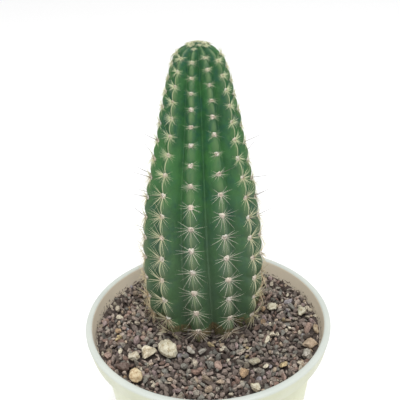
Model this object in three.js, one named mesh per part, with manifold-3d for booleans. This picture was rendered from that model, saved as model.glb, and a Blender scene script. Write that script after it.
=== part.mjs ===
// A tall ribbed cactus in a round plastic pot, with grit and larger pebbles over its soil.
// Millimetres, +Z up. The origin is the centre of the pot's foot, on the surface that it stands on.
// The front is -Y. Heights named "above rim" or "below rim" are measured from the top of the pot.
import * as THREE from "three";
import { mergeVertices } from "three/addons/utils/BufferGeometryUtils.js";
import Module from "manifold-3d";

const wasm = await Module();
wasm.setup();

// Clearance between neighbouring pieces: in general, at the pot's wall, and round the stem and the pebbles
const GAP = 0.3;
const WALL_CLEARANCE = 0.4;
const STEM_CLEARANCE = 0.54;
const PEBBLE_CLEARANCE = 0.42;

// Pot
const POT_HEIGHT = 105;
const RIM_RADIUS = 60;
const RIM_INNER_RADIUS = 56.5;
const RIM_ROUND = 0.7;
const LIP_EDGE = 0.5;
const LIP_HEIGHT = 9;
const LIP_DRAFT = 1.8;
const NECK_RADIUS = 53.3;
const NECK_FILLET = 1;
const FOOT_RADIUS = 42;
const FOOT_RING_WIDTH = 4;
const FOOT_RING_HEIGHT = 2.5;
const FOOT_BEVEL = 0.8;
const RING_BEVEL = 0.5;
const WALL = 2.3;
const FLOOR_TOP = 5;
const FLOOR_FILLET = 1.5;
const LEDGE_HEIGHT = 95.8;
const LEDGE_RISE = 1.2;
const LEDGE_OUTER_RADIUS = 55.1;
const DRAIN_RADIUS = 4;
const DRAIN_CIRCLE = 24;
const DRAIN_COUNT = 5;
const DRAIN_SIDES = 16;
const POT_SIDES = 54;

// Grit and soil
const GRAVEL_BELOW_RIM = 7;
const GRAVEL_BOTTOM_BELOW_RIM = 15;
const GRAIN_PITCH = 5.6;
const GRAIN_RISE = [0.1, 1.1];
const GRAIN_SINK = [0.4, 1.4];
const GRAIN_PEAK_SPREAD = 1.8;
const GRAIN_CORNER_SPREAD = 1.3;
// Over the pot's ledge the grit is thin, so the gaps between its grains are shallower there
const LEDGE_SINK_SHARE = 0.35;
// The body that trims the grit to the pot's mouth reaches this far below the grit and above its level
const MOUTH_BELOW = 1;
const MOUTH_ABOVE = 4;
const SOIL_SIDES = 36;
const SOIL_BEVEL = 2;

// Cactus: where its axis stands in the pot, and how far it bends to the side and back, as a sine whose
// half wave has this height
const STEM_X = -1;
const STEM_Y = 13;
const STEM_BEND = -0.6;
const BEND_HEIGHT = 80;

// Cactus: outline of the crests as radius and height above the rim, from the taproot's tip to the apex
const CREST_OUTLINE = [
  [0, -46],
  [4.2, -40],
  [8.5, -30],
  [17, -21.5],
  [23.4, -14.5],
  [25.3, -7],
  [27.2, 4],
  [28.1, 16],
  [28.4, 28],
  [27.1, 42],
  [25.5, 55],
  [23.7, 67],
  [21.3, 79],
  [18.6, 90.5],
  [16.4, 101.5],
  [14.5, 111],
  [12.7, 118],
  [10.9, 123.2],
  [8.6, 127],
  [5.2, 129.7],
  [0, 130.8],
];

// Cactus: ribs
const RIB_COUNT = 11;
const FIRST_RIB_DEG = -40.4;
const TWIST_DEG = -6.5;
const RIB_DEPTH = 0.25;
const CREST_ROUNDING = 0.35;
const BULGE = 0.125;
const BULGE_REACH = 0.8;
const RIBS_FADE_BELOW_RIM = [20, 9];

// Cactus: the m-th areole of a rib lies at this arc length above the rim's level, along the crest.
// The spacing closes up with m, and is steady from one areole on
const AREOLE_START = 1.2;
const AREOLE_SPACING = 11.6;
const AREOLE_CLOSING = [0.083, 0.0079];
const STEADY_FROM = 12;
// How far each rib's areoles are ahead of the second rib's, in spacings
const RIB_PHASES = [0.3, 0, 0.51, -0.11, 0.26, -0.18, 0.27, -0.2, 0.3, 0.2, 0.68];
const PHASE_FADE = 2.5;

// Cactus: mesh rows for each areole spacing, and the first and last row and areole, all counted in
// areoles from the rim's level
const ROWS_PER_AREOLE = 3;
const FIRST_ROW = -2;
const LAST_ROW = 15.4;
const FIRST_AREOLE = -1;
const LAST_AREOLE = 15;
// Arc lengths of the rows between the taproot's tip and the first row
const BURIED_ROWS = [7.5, 18];
// Columns of each rib: distance from its crest, as a share of the half rib
const COLUMN_SHARES = [-0.42, 0, 0.42, 1];

// Cactus: felt pads and spines
const PAD_RADIUS = 1.15;
const PAD_RISE = 0.9;
const PAD_SHARE_OF_EDGE = 0.45;
// Direction of each of a pad's spines about its middle, from +X side round to the top, and its shape
const SPINES = [
  { turn: 12, lift: 12, length: 1 },
  { turn: 58, lift: 24, length: 0.8 },
  { turn: 142, lift: 18, length: 0.9 },
  { turn: 192, lift: 12, length: 1 },
  { turn: 240, lift: 24, length: 1.1 },
  { turn: 305, lift: 20, length: 1.1 },
];
const SPINE_SHARE = 0.62;
// Towards the apex the spines stand up and are shorter, so as not to cross
const APEX_ROWS = [12, 15];
const APEX_LIFT_DEG = 40;
const APEX_SHORTENING = 0.4;
const TURN_SPREAD_DEG = 12;
const LIFT_SPREAD_DEG = 8;
const LENGTH_SPREAD = 0.3;
// Some areoles send one upper spine straight out instead, and longer
const CENTRAL_SPINE = 1;
const CENTRAL_EVERY = 3;
const CENTRAL_ROWS = [4, 7];
const CENTRAL_LIFT_DEG = 68;
const CENTRAL_LENGTH = [8, 12];
const SPINE_CLEAR_OF_GRAVEL = 2;
const AREOLE_CLEAR_OF_GRAVEL = 2;

// Larger pebbles: colour, place of the middle, then length, width and height, and the turn in degrees
const PEBBLES = [
  ["cream", -19.4, -17.2, 11.8, 9.4, 7.2, 128],
  ["cream", -28.6, -18.9, 8, 6.2, 5.4, 40],
  ["cream", -35.3, -21.4, 5.6, 4.8, 3.8, 10],
  ["tan", -33.3, -35.2, 8.6, 6.4, 5.2, 95],
  ["grey", -8.7, -18.4, 6.2, 3.2, 2.8, 140],
  ["grey", -3, -18.9, 5.6, 3.2, 2.8, 45],
  ["cream", 19.3, -43.9, 6, 4.9, 4.2, 130],
  ["cream", 33, 12.4, 6.2, 5.4, 5, 20],
  ["cream", 47.6, 7.4, 6.2, 5.4, 4.6, 70],
  ["tan", 47.8, -17.2, 7.8, 6.2, 5, 15],
  ["grey", 45.4, -24.6, 6, 5.2, 4.8, 80],
  ["tan", 52.6, -6.6, 6, 3, 4.2, 97],
  ["cream", 20.3, -27.9, 6.2, 4.8, 3.6, 170],
  ["red", -39.8, -28.6, 7, 6.4, 5.4, 165],
];
const PEBBLE_SUNK = 0.28;
const PEBBLE_ROUGHNESS = 0.16;

const SEEDS = { cactus: 11, gravel: 77, pebble: 500 };
const MERGE_TOLERANCE = 1e-4;
const CURVE_DIVISIONS = 2000;

const COLOURS = {
  pot: { color: 0xe2e7e0, roughness: 0.35 },
  soil: { color: 0x2e231c, roughness: 0.95 },
  gravel: { color: 0x7d6a66, roughness: 0.9 },
  cactus: { color: 0x2f6b43, roughness: 0.55 },
  cream: { color: 0xd9cba9, roughness: 0.8 },
  tan: { color: 0xc39b74, roughness: 0.8 },
  grey: { color: 0x9a9c97, roughness: 0.8 },
  red: { color: 0x6f4a44, roughness: 0.85 },
};

// A seeded stream of numbers from 0 to 1
function randomFrom(seed) {
  let state = seed >>> 0;
  return () => {
    state = (state + 0x6d2b79f5) >>> 0;
    let t = state;
    t = Math.imul(t ^ (t >>> 15), t | 1);
    t ^= t + Math.imul(t ^ (t >>> 7), t | 61);
    return ((t ^ (t >>> 14)) >>> 0) / 4294967296;
  };
}

function between([low, high], share) {
  return low + (high - low) * share;
}

// Solids and meshes

function solidOf(geometry) {
  const bare = geometry.clone();
  bare.deleteAttribute("normal");
  bare.deleteAttribute("uv");
  const merged = mergeVertices(bare, MERGE_TOLERANCE);
  return new wasm.Manifold(
    new wasm.Mesh({
      numProp: 3,
      vertProperties: merged.attributes.position.array,
      triVerts: new Uint32Array(merged.index.array),
    }),
  );
}

function geometryOf(solid) {
  const mesh = solid.getMesh();
  const geometry = new THREE.BufferGeometry();
  geometry.setAttribute("position", new THREE.BufferAttribute(mesh.vertProperties, 3));
  geometry.setIndex(new THREE.BufferAttribute(mesh.triVerts, 1));
  geometry.computeVertexNormals();
  return geometry;
}

function geometryFrom(points, triangles) {
  const geometry = new THREE.BufferGeometry().setFromPoints(points);
  geometry.setIndex(triangles);
  return geometry;
}

function nodeOf(name, geometry, look) {
  const material = new THREE.MeshStandardMaterial({ ...COLOURS[look], metalness: 0 });
  const mesh = new THREE.Mesh(geometry, material);
  mesh.name = name;
  return mesh;
}

// A solid of revolution about Z, from its half outline as radius and height, bottom first
function turned(outline, sides) {
  const points = outline.map(([radius, height]) => new THREE.Vector2(radius, height));
  const lathe = new THREE.LatheGeometry(points, sides);
  lathe.rotateX(Math.PI / 2);
  return lathe;
}

// Pot

function outerRadius(height) {
  const share = height / (POT_HEIGHT - LIP_HEIGHT);
  return FOOT_RADIUS + (NECK_RADIUS - FOOT_RADIUS) * share;
}

// Inside the lip the wall steps out over a small ledge, then leans out to the rim
function innerRadius(height) {
  const ledgeTop = LEDGE_HEIGHT + LEDGE_RISE;
  if (height <= LEDGE_HEIGHT) return outerRadius(height) - WALL;
  if (height <= ledgeTop) {
    const share = (height - LEDGE_HEIGHT) / LEDGE_RISE;
    return between([outerRadius(LEDGE_HEIGHT) - WALL, LEDGE_OUTER_RADIUS], share);
  }
  return between([LEDGE_OUTER_RADIUS, RIM_INNER_RADIUS], (height - ledgeTop) / (POT_HEIGHT - ledgeTop));
}

function potGeometry() {
  const lipFoot = POT_HEIGHT - LIP_HEIGHT;
  const ringInner = FOOT_RADIUS - FOOT_RING_WIDTH;
  const outline = [
    [0, FOOT_RING_HEIGHT],
    [ringInner - RING_BEVEL, FOOT_RING_HEIGHT],
    [ringInner, 0],
    [FOOT_RADIUS - FOOT_BEVEL, 0],
    [FOOT_RADIUS, FOOT_BEVEL],
    [NECK_RADIUS, lipFoot - NECK_FILLET],
    [NECK_RADIUS + 0.6 * NECK_FILLET, lipFoot - 0.2 * NECK_FILLET],
    [RIM_RADIUS - LIP_DRAFT - LIP_EDGE, lipFoot],
    [RIM_RADIUS - LIP_DRAFT, lipFoot + LIP_EDGE],
    [RIM_RADIUS, POT_HEIGHT - RIM_ROUND],
    [RIM_RADIUS - RIM_ROUND, POT_HEIGHT],
    [RIM_INNER_RADIUS + RIM_ROUND, POT_HEIGHT],
    [RIM_INNER_RADIUS, POT_HEIGHT - RIM_ROUND],
    [LEDGE_OUTER_RADIUS, LEDGE_HEIGHT + LEDGE_RISE],
    [innerRadius(LEDGE_HEIGHT), LEDGE_HEIGHT],
    [innerRadius(FLOOR_TOP), FLOOR_TOP + FLOOR_FILLET],
    [innerRadius(FLOOR_TOP) - FLOOR_FILLET, FLOOR_TOP],
    [0, FLOOR_TOP],
  ];
  let pot = solidOf(turned(outline, POT_SIDES));
  const drain = new THREE.CylinderGeometry(DRAIN_RADIUS, DRAIN_RADIUS, 4 * FLOOR_TOP, DRAIN_SIDES);
  drain.rotateX(Math.PI / 2);
  pot = pot.subtract(solidOf(drain));
  for (let i = 0; i < DRAIN_COUNT; i += 1) {
    const angle = (2 * Math.PI * i) / DRAIN_COUNT;
    const hole = drain.clone();
    hole.translate(DRAIN_CIRCLE * Math.cos(angle), DRAIN_CIRCLE * Math.sin(angle), 0);
    pot = pot.subtract(solidOf(hole));
  }
  return geometryOf(pot);
}

// Cactus: the crest's outline as a curve, read by arc length

const crestCurve = new THREE.SplineCurve(
  CREST_OUTLINE.map(([radius, height]) => new THREE.Vector2(radius, POT_HEIGHT + height)),
);
crestCurve.arcLengthDivisions = CURVE_DIVISIONS;
const crestLength = crestCurve.getLength();

function arcAtHeight(height) {
  let low = 0;
  let high = crestLength;
  while (high - low > MERGE_TOLERANCE) {
    const middle = (low + high) / 2;
    if (crestCurve.getPointAt(middle / crestLength).y < height) low = middle;
    else high = middle;
  }
  return low;
}

const rimArc = arcAtHeight(POT_HEIGHT);

function areoleSpacing(m) {
  const n = Math.min(m, STEADY_FROM);
  return AREOLE_SPACING - 2 * AREOLE_CLOSING[0] * n - 3 * AREOLE_CLOSING[1] * n * n;
}

function areoleArc(m) {
  const n = Math.min(m, STEADY_FROM);
  const closing = AREOLE_CLOSING[0] * n * n + AREOLE_CLOSING[1] * n * n * n;
  return rimArc + AREOLE_START + AREOLE_SPACING * n - closing + areoleSpacing(m) * (m - n);
}

function smooth(low, high, value) {
  return THREE.MathUtils.smoothstep(value, low, high);
}

// Depth of the valleys below the crest at a point of the crest's outline
function ribDepth(radius, height) {
  const [gone, full] = RIBS_FADE_BELOW_RIM;
  return RIB_DEPTH * radius * smooth(POT_HEIGHT - gone, POT_HEIGHT - full, height);
}

// How far the surface has fallen from crest (0) to valley (1), with a rounded crest and a sharp valley
function flankFall(share) {
  const w = CREST_ROUNDING;
  const x = Math.abs(share);
  return (Math.hypot(x, w) - w) / (Math.hypot(1, w) - w);
}

// Angle of a rib's crest about the stem's axis; 0 is the front and it grows towards +X
function ribAngle(rib, height) {
  const climb = (height - POT_HEIGHT) / CREST_OUTLINE[CREST_OUTLINE.length - 1][1];
  const degrees = FIRST_RIB_DEG + (rib * 360) / RIB_COUNT + TWIST_DEG * climb;
  return THREE.MathUtils.degToRad(degrees);
}

// A rib's phase fades out at the foot and at the apex, where the rows of all ribs meet
function phaseOf(rib, m) {
  const phase = RIB_PHASES[(rib + RIB_COUNT) % RIB_COUNT];
  return phase * smooth(FIRST_ROW, FIRST_AREOLE, m) * (1 - smooth(LAST_ROW - PHASE_FADE, LAST_ROW, m));
}

// Point of the stem's axis at a height
function axisPoint(height) {
  const bend = STEM_BEND * Math.sin((Math.PI * (height - POT_HEIGHT)) / BEND_HEIGHT);
  return new THREE.Vector3(STEM_X + bend, STEM_Y, height);
}

// Point and outward normal of the crest's outline, turned to an angle about the stem's axis
function crestFrame(arc, angle) {
  const share = THREE.MathUtils.clamp(arc / crestLength, 0, 1);
  const { x: radius, y: height } = crestCurve.getPointAt(share);
  const along = crestCurve.getTangentAt(share);
  const outward = new THREE.Vector3(Math.sin(angle), -Math.cos(angle), 0);
  const up = new THREE.Vector3(0, 0, 1);
  return {
    radius,
    height,
    point: axisPoint(height).addScaledVector(outward, radius),
    normal: outward.clone().multiplyScalar(along.y).addScaledVector(up, -along.x),
    rising: outward.clone().multiplyScalar(along.x).addScaledVector(up, along.y),
  };
}

// One vertex of the stem: the crest's outline, lowered into the valley and raised between areoles
function stemVertex(arc, bulge, rib, share, clearance) {
  const { height } = crestFrame(arc, 0);
  const angle = ribAngle(rib + share / 2, height);
  const frame = crestFrame(arc, angle);
  const fall = ribDepth(frame.radius, height) * flankFall(share);
  const rise = bulge * (1 - smooth(0, BULGE_REACH, Math.abs(share)));
  return frame.point.addScaledVector(frame.normal, clearance + rise - fall);
}

// The rows of the stem's mesh, as areole numbers: an areole lies on each whole number
function stemRows() {
  const rows = [];
  for (let i = 0; i <= (LAST_ROW - FIRST_ROW) * ROWS_PER_AREOLE; i += 1) {
    rows.push(FIRST_ROW + i / ROWS_PER_AREOLE);
  }
  return rows;
}

// The stem's skin as rings of points, from the taproot's tip to the apex.
// With a clearance it is the hollow that the stem stands in.
function stemRings(clearance) {
  const rings = BURIED_ROWS.map((arc) => {
    const ring = [];
    for (let rib = 0; rib < RIB_COUNT; rib += 1) {
      for (const share of COLUMN_SHARES) ring.push(stemVertex(arc, 0, rib, share, clearance));
    }
    return ring;
  });
  for (const m of stemRows()) {
    const bulge = BULGE * areoleSpacing(m) * Math.abs(Math.sin(Math.PI * m));
    const ring = [];
    for (let rib = 0; rib < RIB_COUNT; rib += 1) {
      for (const share of COLUMN_SHARES) {
        const beside = phaseOf(rib + Math.sign(share), m);
        const phase = between([phaseOf(rib, m), beside], Math.abs(share) / 2);
        ring.push(stemVertex(areoleArc(m + phase), bulge, rib, share, clearance));
      }
    }
    rings.push(ring);
  }
  return rings;
}

// Points and triangles of a closed skin over the rings; a triangle with a vertex in leaveOpen is skipped
function skinOver(rings, clearance, leaveOpen) {
  const [, rootTip] = CREST_OUTLINE[0];
  const [, apex] = CREST_OUTLINE[CREST_OUTLINE.length - 1];
  const points = [
    axisPoint(POT_HEIGHT + rootTip - clearance),
    ...rings.flat(),
    axisPoint(POT_HEIGHT + apex + clearance),
  ];
  const around = rings[0].length;
  const triangles = [];
  const add = (a, b, c) => {
    if (![a, b, c].some((index) => leaveOpen.has(index))) triangles.push(a, b, c);
  };
  for (let i = 0; i < around; i += 1) {
    const next = (i + 1) % around;
    add(0, 1 + next, 1 + i);
    for (let row = 0; row < rings.length - 1; row += 1) {
      const below = 1 + row * around;
      const above = below + around;
      add(below + i, below + next, above + next);
      add(below + i, above + next, above + i);
    }
    const last = 1 + (rings.length - 1) * around;
    add(last + i, last + next, points.length - 1);
  }
  return { points, triangles };
}

function stemHollow() {
  const rings = stemRings(STEM_CLEARANCE);
  const { points, triangles } = skinOver(rings, STEM_CLEARANCE, new Set());
  return solidOf(geometryFrom(points, triangles));
}

// Tip of one of a pad's spines
function spineTip(frame, spine, length) {
  const side = frame.rising.clone().cross(frame.normal);
  const turn = THREE.MathUtils.degToRad(spine.turn);
  const lift = THREE.MathUtils.degToRad(spine.lift);
  const tip = frame.point
    .clone()
    .addScaledVector(side, length * Math.cos(lift) * Math.cos(turn))
    .addScaledVector(frame.rising, length * Math.cos(lift) * Math.sin(turn))
    .addScaledVector(frame.normal, length * Math.sin(lift));
  tip.z = Math.max(tip.z, POT_HEIGHT - GRAVEL_BELOW_RIM + SPINE_CLEAR_OF_GRAVEL);
  return tip;
}

// One areole: a raised pad whose six faces each run out into a spine.
// The pad takes the place of the skin's vertex at the areole; neighbours are the six vertices round it.
function addAreole(skin, vertex, neighbours, frame, m, carriesCentral, random) {
  const { points, triangles } = skin;
  const edge = neighbours.map((index) => {
    const outward = points[index].clone().sub(points[vertex]);
    const reach = Math.min(PAD_RADIUS, PAD_SHARE_OF_EDGE * outward.length());
    points.push(points[vertex].clone().addScaledVector(outward.normalize(), reach));
    return points.length - 1;
  });
  points[vertex] = frame.point.clone().addScaledVector(frame.normal, PAD_RISE);
  const nearApex = smooth(...APEX_ROWS, m);
  const usual = SPINE_SHARE * areoleSpacing(m) * (1 - APEX_SHORTENING * nearApex);
  neighbours.forEach((from, i) => {
    const j = (i + 1) % neighbours.length;
    triangles.push(edge[i], from, neighbours[j]);
    triangles.push(edge[i], neighbours[j], edge[j]);
    const turn = SPINES[i].turn + TURN_SPREAD_DEG * (random() - 0.5);
    const isCentral = carriesCentral && i === CENTRAL_SPINE;
    const usualLift = SPINES[i].lift + APEX_LIFT_DEG * nearApex;
    const lift = (isCentral ? CENTRAL_LIFT_DEG : usualLift) + LIFT_SPREAD_DEG * (random() - 0.5);
    const radial = usual * SPINES[i].length * (1 + LENGTH_SPREAD * (random() - 0.5));
    const length = isCentral ? between(CENTRAL_LENGTH, random()) : radial;
    const tip = points.length;
    points.push(spineTip(frame, { turn, lift }, length));
    triangles.push(vertex, edge[i], tip);
    triangles.push(edge[i], edge[j], tip);
    triangles.push(edge[j], vertex, tip);
  });
}

function cactusGeometry() {
  const rows = stemRows();
  const rings = stemRings(0);
  const around = rings[0].length;
  const crestColumn = COLUMN_SHARES.indexOf(0);
  const areoles = [];
  for (let rib = 0; rib < RIB_COUNT; rib += 1) {
    for (let m = FIRST_AREOLE; m <= LAST_AREOLE; m += 1) {
      const arc = areoleArc(m + phaseOf(rib, m));
      const frame = crestFrame(arc, ribAngle(rib, crestFrame(arc, 0).height));
      if (frame.height < POT_HEIGHT - GRAVEL_BELOW_RIM + AREOLE_CLEAR_OF_GRAVEL) continue;
      const row = BURIED_ROWS.length + rows.findIndex((value) => value > m - 0.5 / ROWS_PER_AREOLE);
      const column = rib * COLUMN_SHARES.length + crestColumn;
      areoles.push({ rib, m, frame, row, column });
    }
  }
  const at = (row, column) => 1 + row * around + ((column + around) % around);
  const skin = skinOver(rings, 0, new Set(areoles.map(({ row, column }) => at(row, column))));
  const random = randomFrom(SEEDS.cactus);
  for (const { rib, m, frame, row, column } of areoles) {
    const neighbours = [
      at(row, column + 1),
      at(row + 1, column + 1),
      at(row + 1, column),
      at(row, column - 1),
      at(row - 1, column - 1),
      at(row - 1, column),
    ];
    const [first, last] = CENTRAL_ROWS;
    const carriesCentral = (m + rib) % CENTRAL_EVERY === 0 && m >= first && m <= last;
    addAreole(skin, at(row, column), neighbours, frame, m, carriesCentral, random);
  }
  return geometryFrom(skin.points, skin.triangles);
}

// Pebbles

function pebbleGeometry([, x, y, length, width, height, turn], index) {
  const random = randomFrom(SEEDS.pebble + index);
  const stone = new THREE.DodecahedronGeometry(1);
  stone.deleteAttribute("normal");
  stone.deleteAttribute("uv");
  const merged = mergeVertices(stone, MERGE_TOLERANCE);
  const position = merged.attributes.position;
  const corner = new THREE.Vector3();
  for (let i = 0; i < position.count; i += 1) {
    corner.fromBufferAttribute(position, i);
    corner.multiplyScalar(1 - PEBBLE_ROUGHNESS * random());
    position.setXYZ(i, corner.x, corner.y, corner.z);
  }
  merged.scale(length / 2, width / 2, height / 2);
  merged.rotateZ(THREE.MathUtils.degToRad(turn));
  const middle = POT_HEIGHT - GRAVEL_BELOW_RIM + (0.5 - PEBBLE_SUNK) * height;
  return { geometry: merged, middle: new THREE.Vector3(x, y, middle) };
}

// The same stone grown by the clearance, for the bed that it lies in
function pebbleBed(pebble, { geometry, middle }) {
  const smallest = Math.min(...pebble.slice(3, 6)) / 2;
  const growth = 1 + PEBBLE_CLEARANCE / smallest;
  const bed = geometry.clone();
  bed.scale(growth, growth, growth);
  bed.translate(middle.x, middle.y, middle.z);
  return bed;
}

// Grit: a bed of angular grains on a triangular grid, each a low pyramid on six shared corners

function gravelReliefGeometry() {
  const random = randomFrom(SEEDS.gravel);
  const level = POT_HEIGHT - GRAVEL_BELOW_RIM;
  const rowStep = (GRAIN_PITCH * Math.sqrt(3)) / 2;
  const cornerReach = GRAIN_PITCH / Math.sqrt(3);
  const reach = RIM_RADIUS + GRAIN_PITCH;
  const rowsEachWay = Math.ceil(reach / rowStep);
  const points = [];
  const triangles = [];
  const cornerIndex = new Map();
  const edges = new Map();
  const jitter = (amount) => amount * (random() - 0.5);
  const cornerAt = (x, y) => {
    const key = `${Math.round(x * 10)},${Math.round(y * 10)}`;
    if (!cornerIndex.has(key)) {
      cornerIndex.set(key, points.length);
      const overLedge = Math.hypot(x, y) > outerRadius(LEDGE_HEIGHT) - 2 * WALL;
      const sink = between(GRAIN_SINK, random()) * (overLedge ? LEDGE_SINK_SHARE : 1);
      const spread = GRAIN_CORNER_SPREAD;
      points.push(new THREE.Vector3(x + jitter(spread), y + jitter(spread), level - sink));
    }
    return cornerIndex.get(key);
  };
  for (let row = -rowsEachWay; row <= rowsEachWay; row += 1) {
    for (let column = -rowsEachWay; column <= rowsEachWay; column += 1) {
      const x = (column + (row % 2 === 0 ? 0 : 0.5)) * GRAIN_PITCH;
      const y = row * rowStep;
      if (Math.hypot(x, y) > reach) continue;
      const peak = points.length;
      const rise = between(GRAIN_RISE, random());
      const spread = GRAIN_PEAK_SPREAD;
      points.push(new THREE.Vector3(x + jitter(spread), y + jitter(spread), level + rise));
      const corners = [];
      for (let i = 0; i < 6; i += 1) {
        const angle = Math.PI / 6 + (i * Math.PI) / 3;
        corners.push(cornerAt(x + cornerReach * Math.cos(angle), y + cornerReach * Math.sin(angle)));
      }
      corners.forEach((corner, i) => {
        const next = corners[(i + 1) % 6];
        triangles.push(peak, corner, next);
        const opposite = `${next},${corner}`;
        if (edges.has(opposite)) edges.delete(opposite);
        else edges.set(`${corner},${next}`, [corner, next]);
      });
    }
  }
  // Skirt and floor under the open edge
  const bottom = POT_HEIGHT - GRAVEL_BOTTOM_BELOW_RIM;
  const centre = points.length;
  points.push(new THREE.Vector3(0, 0, bottom));
  const lowered = new Map();
  const below = (index) => {
    if (!lowered.has(index)) {
      lowered.set(index, points.length);
      const { x, y } = points[index];
      points.push(new THREE.Vector3(x, y, bottom));
    }
    return lowered.get(index);
  };
  for (const [from, to] of edges.values()) {
    triangles.push(from, below(from), below(to));
    triangles.push(from, below(to), to);
    triangles.push(centre, below(to), below(from));
  }
  return geometryFrom(points, triangles);
}

function gravelGeometry(stones) {
  const bottom = POT_HEIGHT - GRAVEL_BOTTOM_BELOW_RIM - MOUTH_BELOW;
  const brim = POT_HEIGHT - GRAVEL_BELOW_RIM + MOUTH_ABOVE;
  const side = [bottom, LEDGE_HEIGHT, LEDGE_HEIGHT + LEDGE_RISE, brim];
  const outline = side.map((height) => [innerRadius(height) - WALL_CLEARANCE, height + GAP]);
  const mouth = solidOf(turned([[0, bottom + GAP], ...outline, [0, brim + GAP]], POT_SIDES));
  let gravel = solidOf(gravelReliefGeometry()).intersect(mouth);
  gravel = gravel.subtract(stemHollow());
  for (const [pebble, stone] of stones) gravel = gravel.subtract(solidOf(pebbleBed(pebble, stone)));
  return geometryOf(gravel);
}

// Soil: a tapered plug with the hollow that the cactus's foot and taproot stand in

function soilGeometry() {
  const floor = FLOOR_TOP + GAP;
  const brim = POT_HEIGHT - GRAVEL_BOTTOM_BELOW_RIM - GAP;
  const outline = [
    [0, floor],
    [innerRadius(floor) - SOIL_BEVEL - GAP, floor],
    [innerRadius(floor + SOIL_BEVEL) - GAP, floor + SOIL_BEVEL],
    [innerRadius(brim) - GAP, brim],
    [0, brim],
  ];
  const soil = solidOf(turned(outline, SOIL_SIDES)).subtract(stemHollow());
  return geometryOf(soil);
}

function pottedCactus() {
  const group = new THREE.Group();
  const stones = PEBBLES.map((pebble, i) => [pebble, pebbleGeometry(pebble, i)]);
  group.add(nodeOf("pot", potGeometry(), "pot"));
  group.add(nodeOf("soil", soilGeometry(), "soil"));
  group.add(nodeOf("gravel", gravelGeometry(stones), "gravel"));
  group.add(nodeOf("cactus", cactusGeometry(), "cactus"));
  stones.forEach(([pebble, { geometry, middle }], i) => {
    const number = String(i + 1).padStart(2, "0");
    const mesh = nodeOf(`pebble_${number}`, geometry, pebble[0]);
    mesh.position.copy(middle);
    group.add(mesh);
  });
  return group;
}

export default pottedCactus();
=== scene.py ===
# A tall ribbed cactus in a round plastic pot, with grit and larger stones over its soil.
# Formulas are in millimetres and the scene is in metres. The front is -Y, and heights above
# the rim are measured from the top of the pot.
import math
from functools import reduce

import bmesh
import bpy
import numpy as np
from mathutils import Matrix, Vector


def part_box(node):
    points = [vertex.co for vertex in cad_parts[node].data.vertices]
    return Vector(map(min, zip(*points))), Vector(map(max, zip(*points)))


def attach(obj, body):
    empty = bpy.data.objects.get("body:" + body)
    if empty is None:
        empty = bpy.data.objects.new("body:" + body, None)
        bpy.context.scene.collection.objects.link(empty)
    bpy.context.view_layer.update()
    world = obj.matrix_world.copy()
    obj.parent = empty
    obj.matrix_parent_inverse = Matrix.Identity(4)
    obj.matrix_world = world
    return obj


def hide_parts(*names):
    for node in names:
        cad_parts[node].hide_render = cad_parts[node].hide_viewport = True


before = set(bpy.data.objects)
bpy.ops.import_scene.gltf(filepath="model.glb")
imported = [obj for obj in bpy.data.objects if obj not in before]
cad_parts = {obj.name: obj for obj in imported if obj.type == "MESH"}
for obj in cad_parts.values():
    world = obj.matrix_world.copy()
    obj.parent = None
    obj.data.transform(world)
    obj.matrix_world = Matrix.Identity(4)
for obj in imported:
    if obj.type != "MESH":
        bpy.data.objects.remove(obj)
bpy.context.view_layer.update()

MM = 0.001

# Camera: place from the middle of the rim, pitch below the horizon, roll and lens of the photograph
CAMERA_FROM_RIM = (-1.658, -252.831, 196.923)
CAMERA_PITCH_DEG = 27.774
CAMERA_ROLL_DEG = -2.124
CAMERA_LENS = 57.6
CAMERA_SENSOR = 36

# Pot
POT_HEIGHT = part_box("pot")[1].z / MM
RIM_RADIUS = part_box("pot")[1].x / MM
SPINE_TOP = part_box("cactus")[1].z / MM - 0.2
RIM_INNER_RADIUS = 56.5
LIP_HEIGHT = 9
LIP_DRAFT = 1.8
NECK_RADIUS = 53.3
FOOT_RADIUS = 42
FOOT_RING_WIDTH = 4
FOOT_RING_HEIGHT = 2.5
WALL = 2.3
FLOOR_TOP = 5
LEDGE_HEIGHT = 95.8
LEDGE_RISE = 1.2
LEDGE_OUTER_RADIUS = 55.1
DRAIN_RADIUS = 4
DRAIN_CIRCLE = 24
# A ring of holes, and one more in the middle
DRAIN_COUNT = 5
DRAIN_STEPS = 40
POT_STEPS = 180
# The inside, for the pot's look, reaches this far into the wall, and ends this far below the rim
INSIDE_MARGIN = 0.9
INSIDE_BELOW_RIM = 0.35
SHARP_FROM_DEG = 40

# Grit
GRAVEL_BELOW_RIM = 7
GRAVEL_BOTTOM_BELOW_RIM = 15
LEVEL = POT_HEIGHT - GRAVEL_BELOW_RIM
BED_BELOW_LEVEL = 3
# Least, most common and greatest
GRAIN_RADII = (0.7, 1, 2.05)
GRAIN_CHOICES = 8
GRAIN_MISSES = 900
GRAIN_CUTS = 9
# Distance of two grains that touch, as a share of their two radii
GRAIN_TOUCH = 0.86
# The grit stands higher by the wall, and is heaped against the front of the stem
WALL_RISE = 1.1
HEAP_RISE = 3.4
HEAP_REACH = (0, 8)
# Painted shadow darkens it close in front of the stem, and it is paler by the wall and on the right
FOOT_SHADOW_REACH = (2.5, 9)
FOOT_SHADOW_DEPTH = 0.7
WALL_PALE_REACH = (28, 46)
WALL_PALE_GAIN = 0.2
RIGHT_REACH = (5, 40)
RIGHT_GAIN = 0.11

# Cactus: axis in the pot, and outline of the crests as radius and height above the rim
STEM_X = -1
STEM_Y = 13
STEM_BEND = -0.6
BEND_HEIGHT = 80
CREST_OUTLINE = (
    (0, -46), (4.2, -40), (8.5, -30), (17, -21.5), (23.4, -14.5), (25.3, -7), (27.2, 4), (28.1, 16),
    (28.4, 28), (27.1, 42), (25.5, 55), (23.7, 67), (21.3, 79), (18.6, 90.5), (16.4, 101.5), (14.5, 111),
    (12.7, 118), (10.9, 123.2), (8.6, 127), (5.2, 129.7), (0, 130.8),
)

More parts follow.
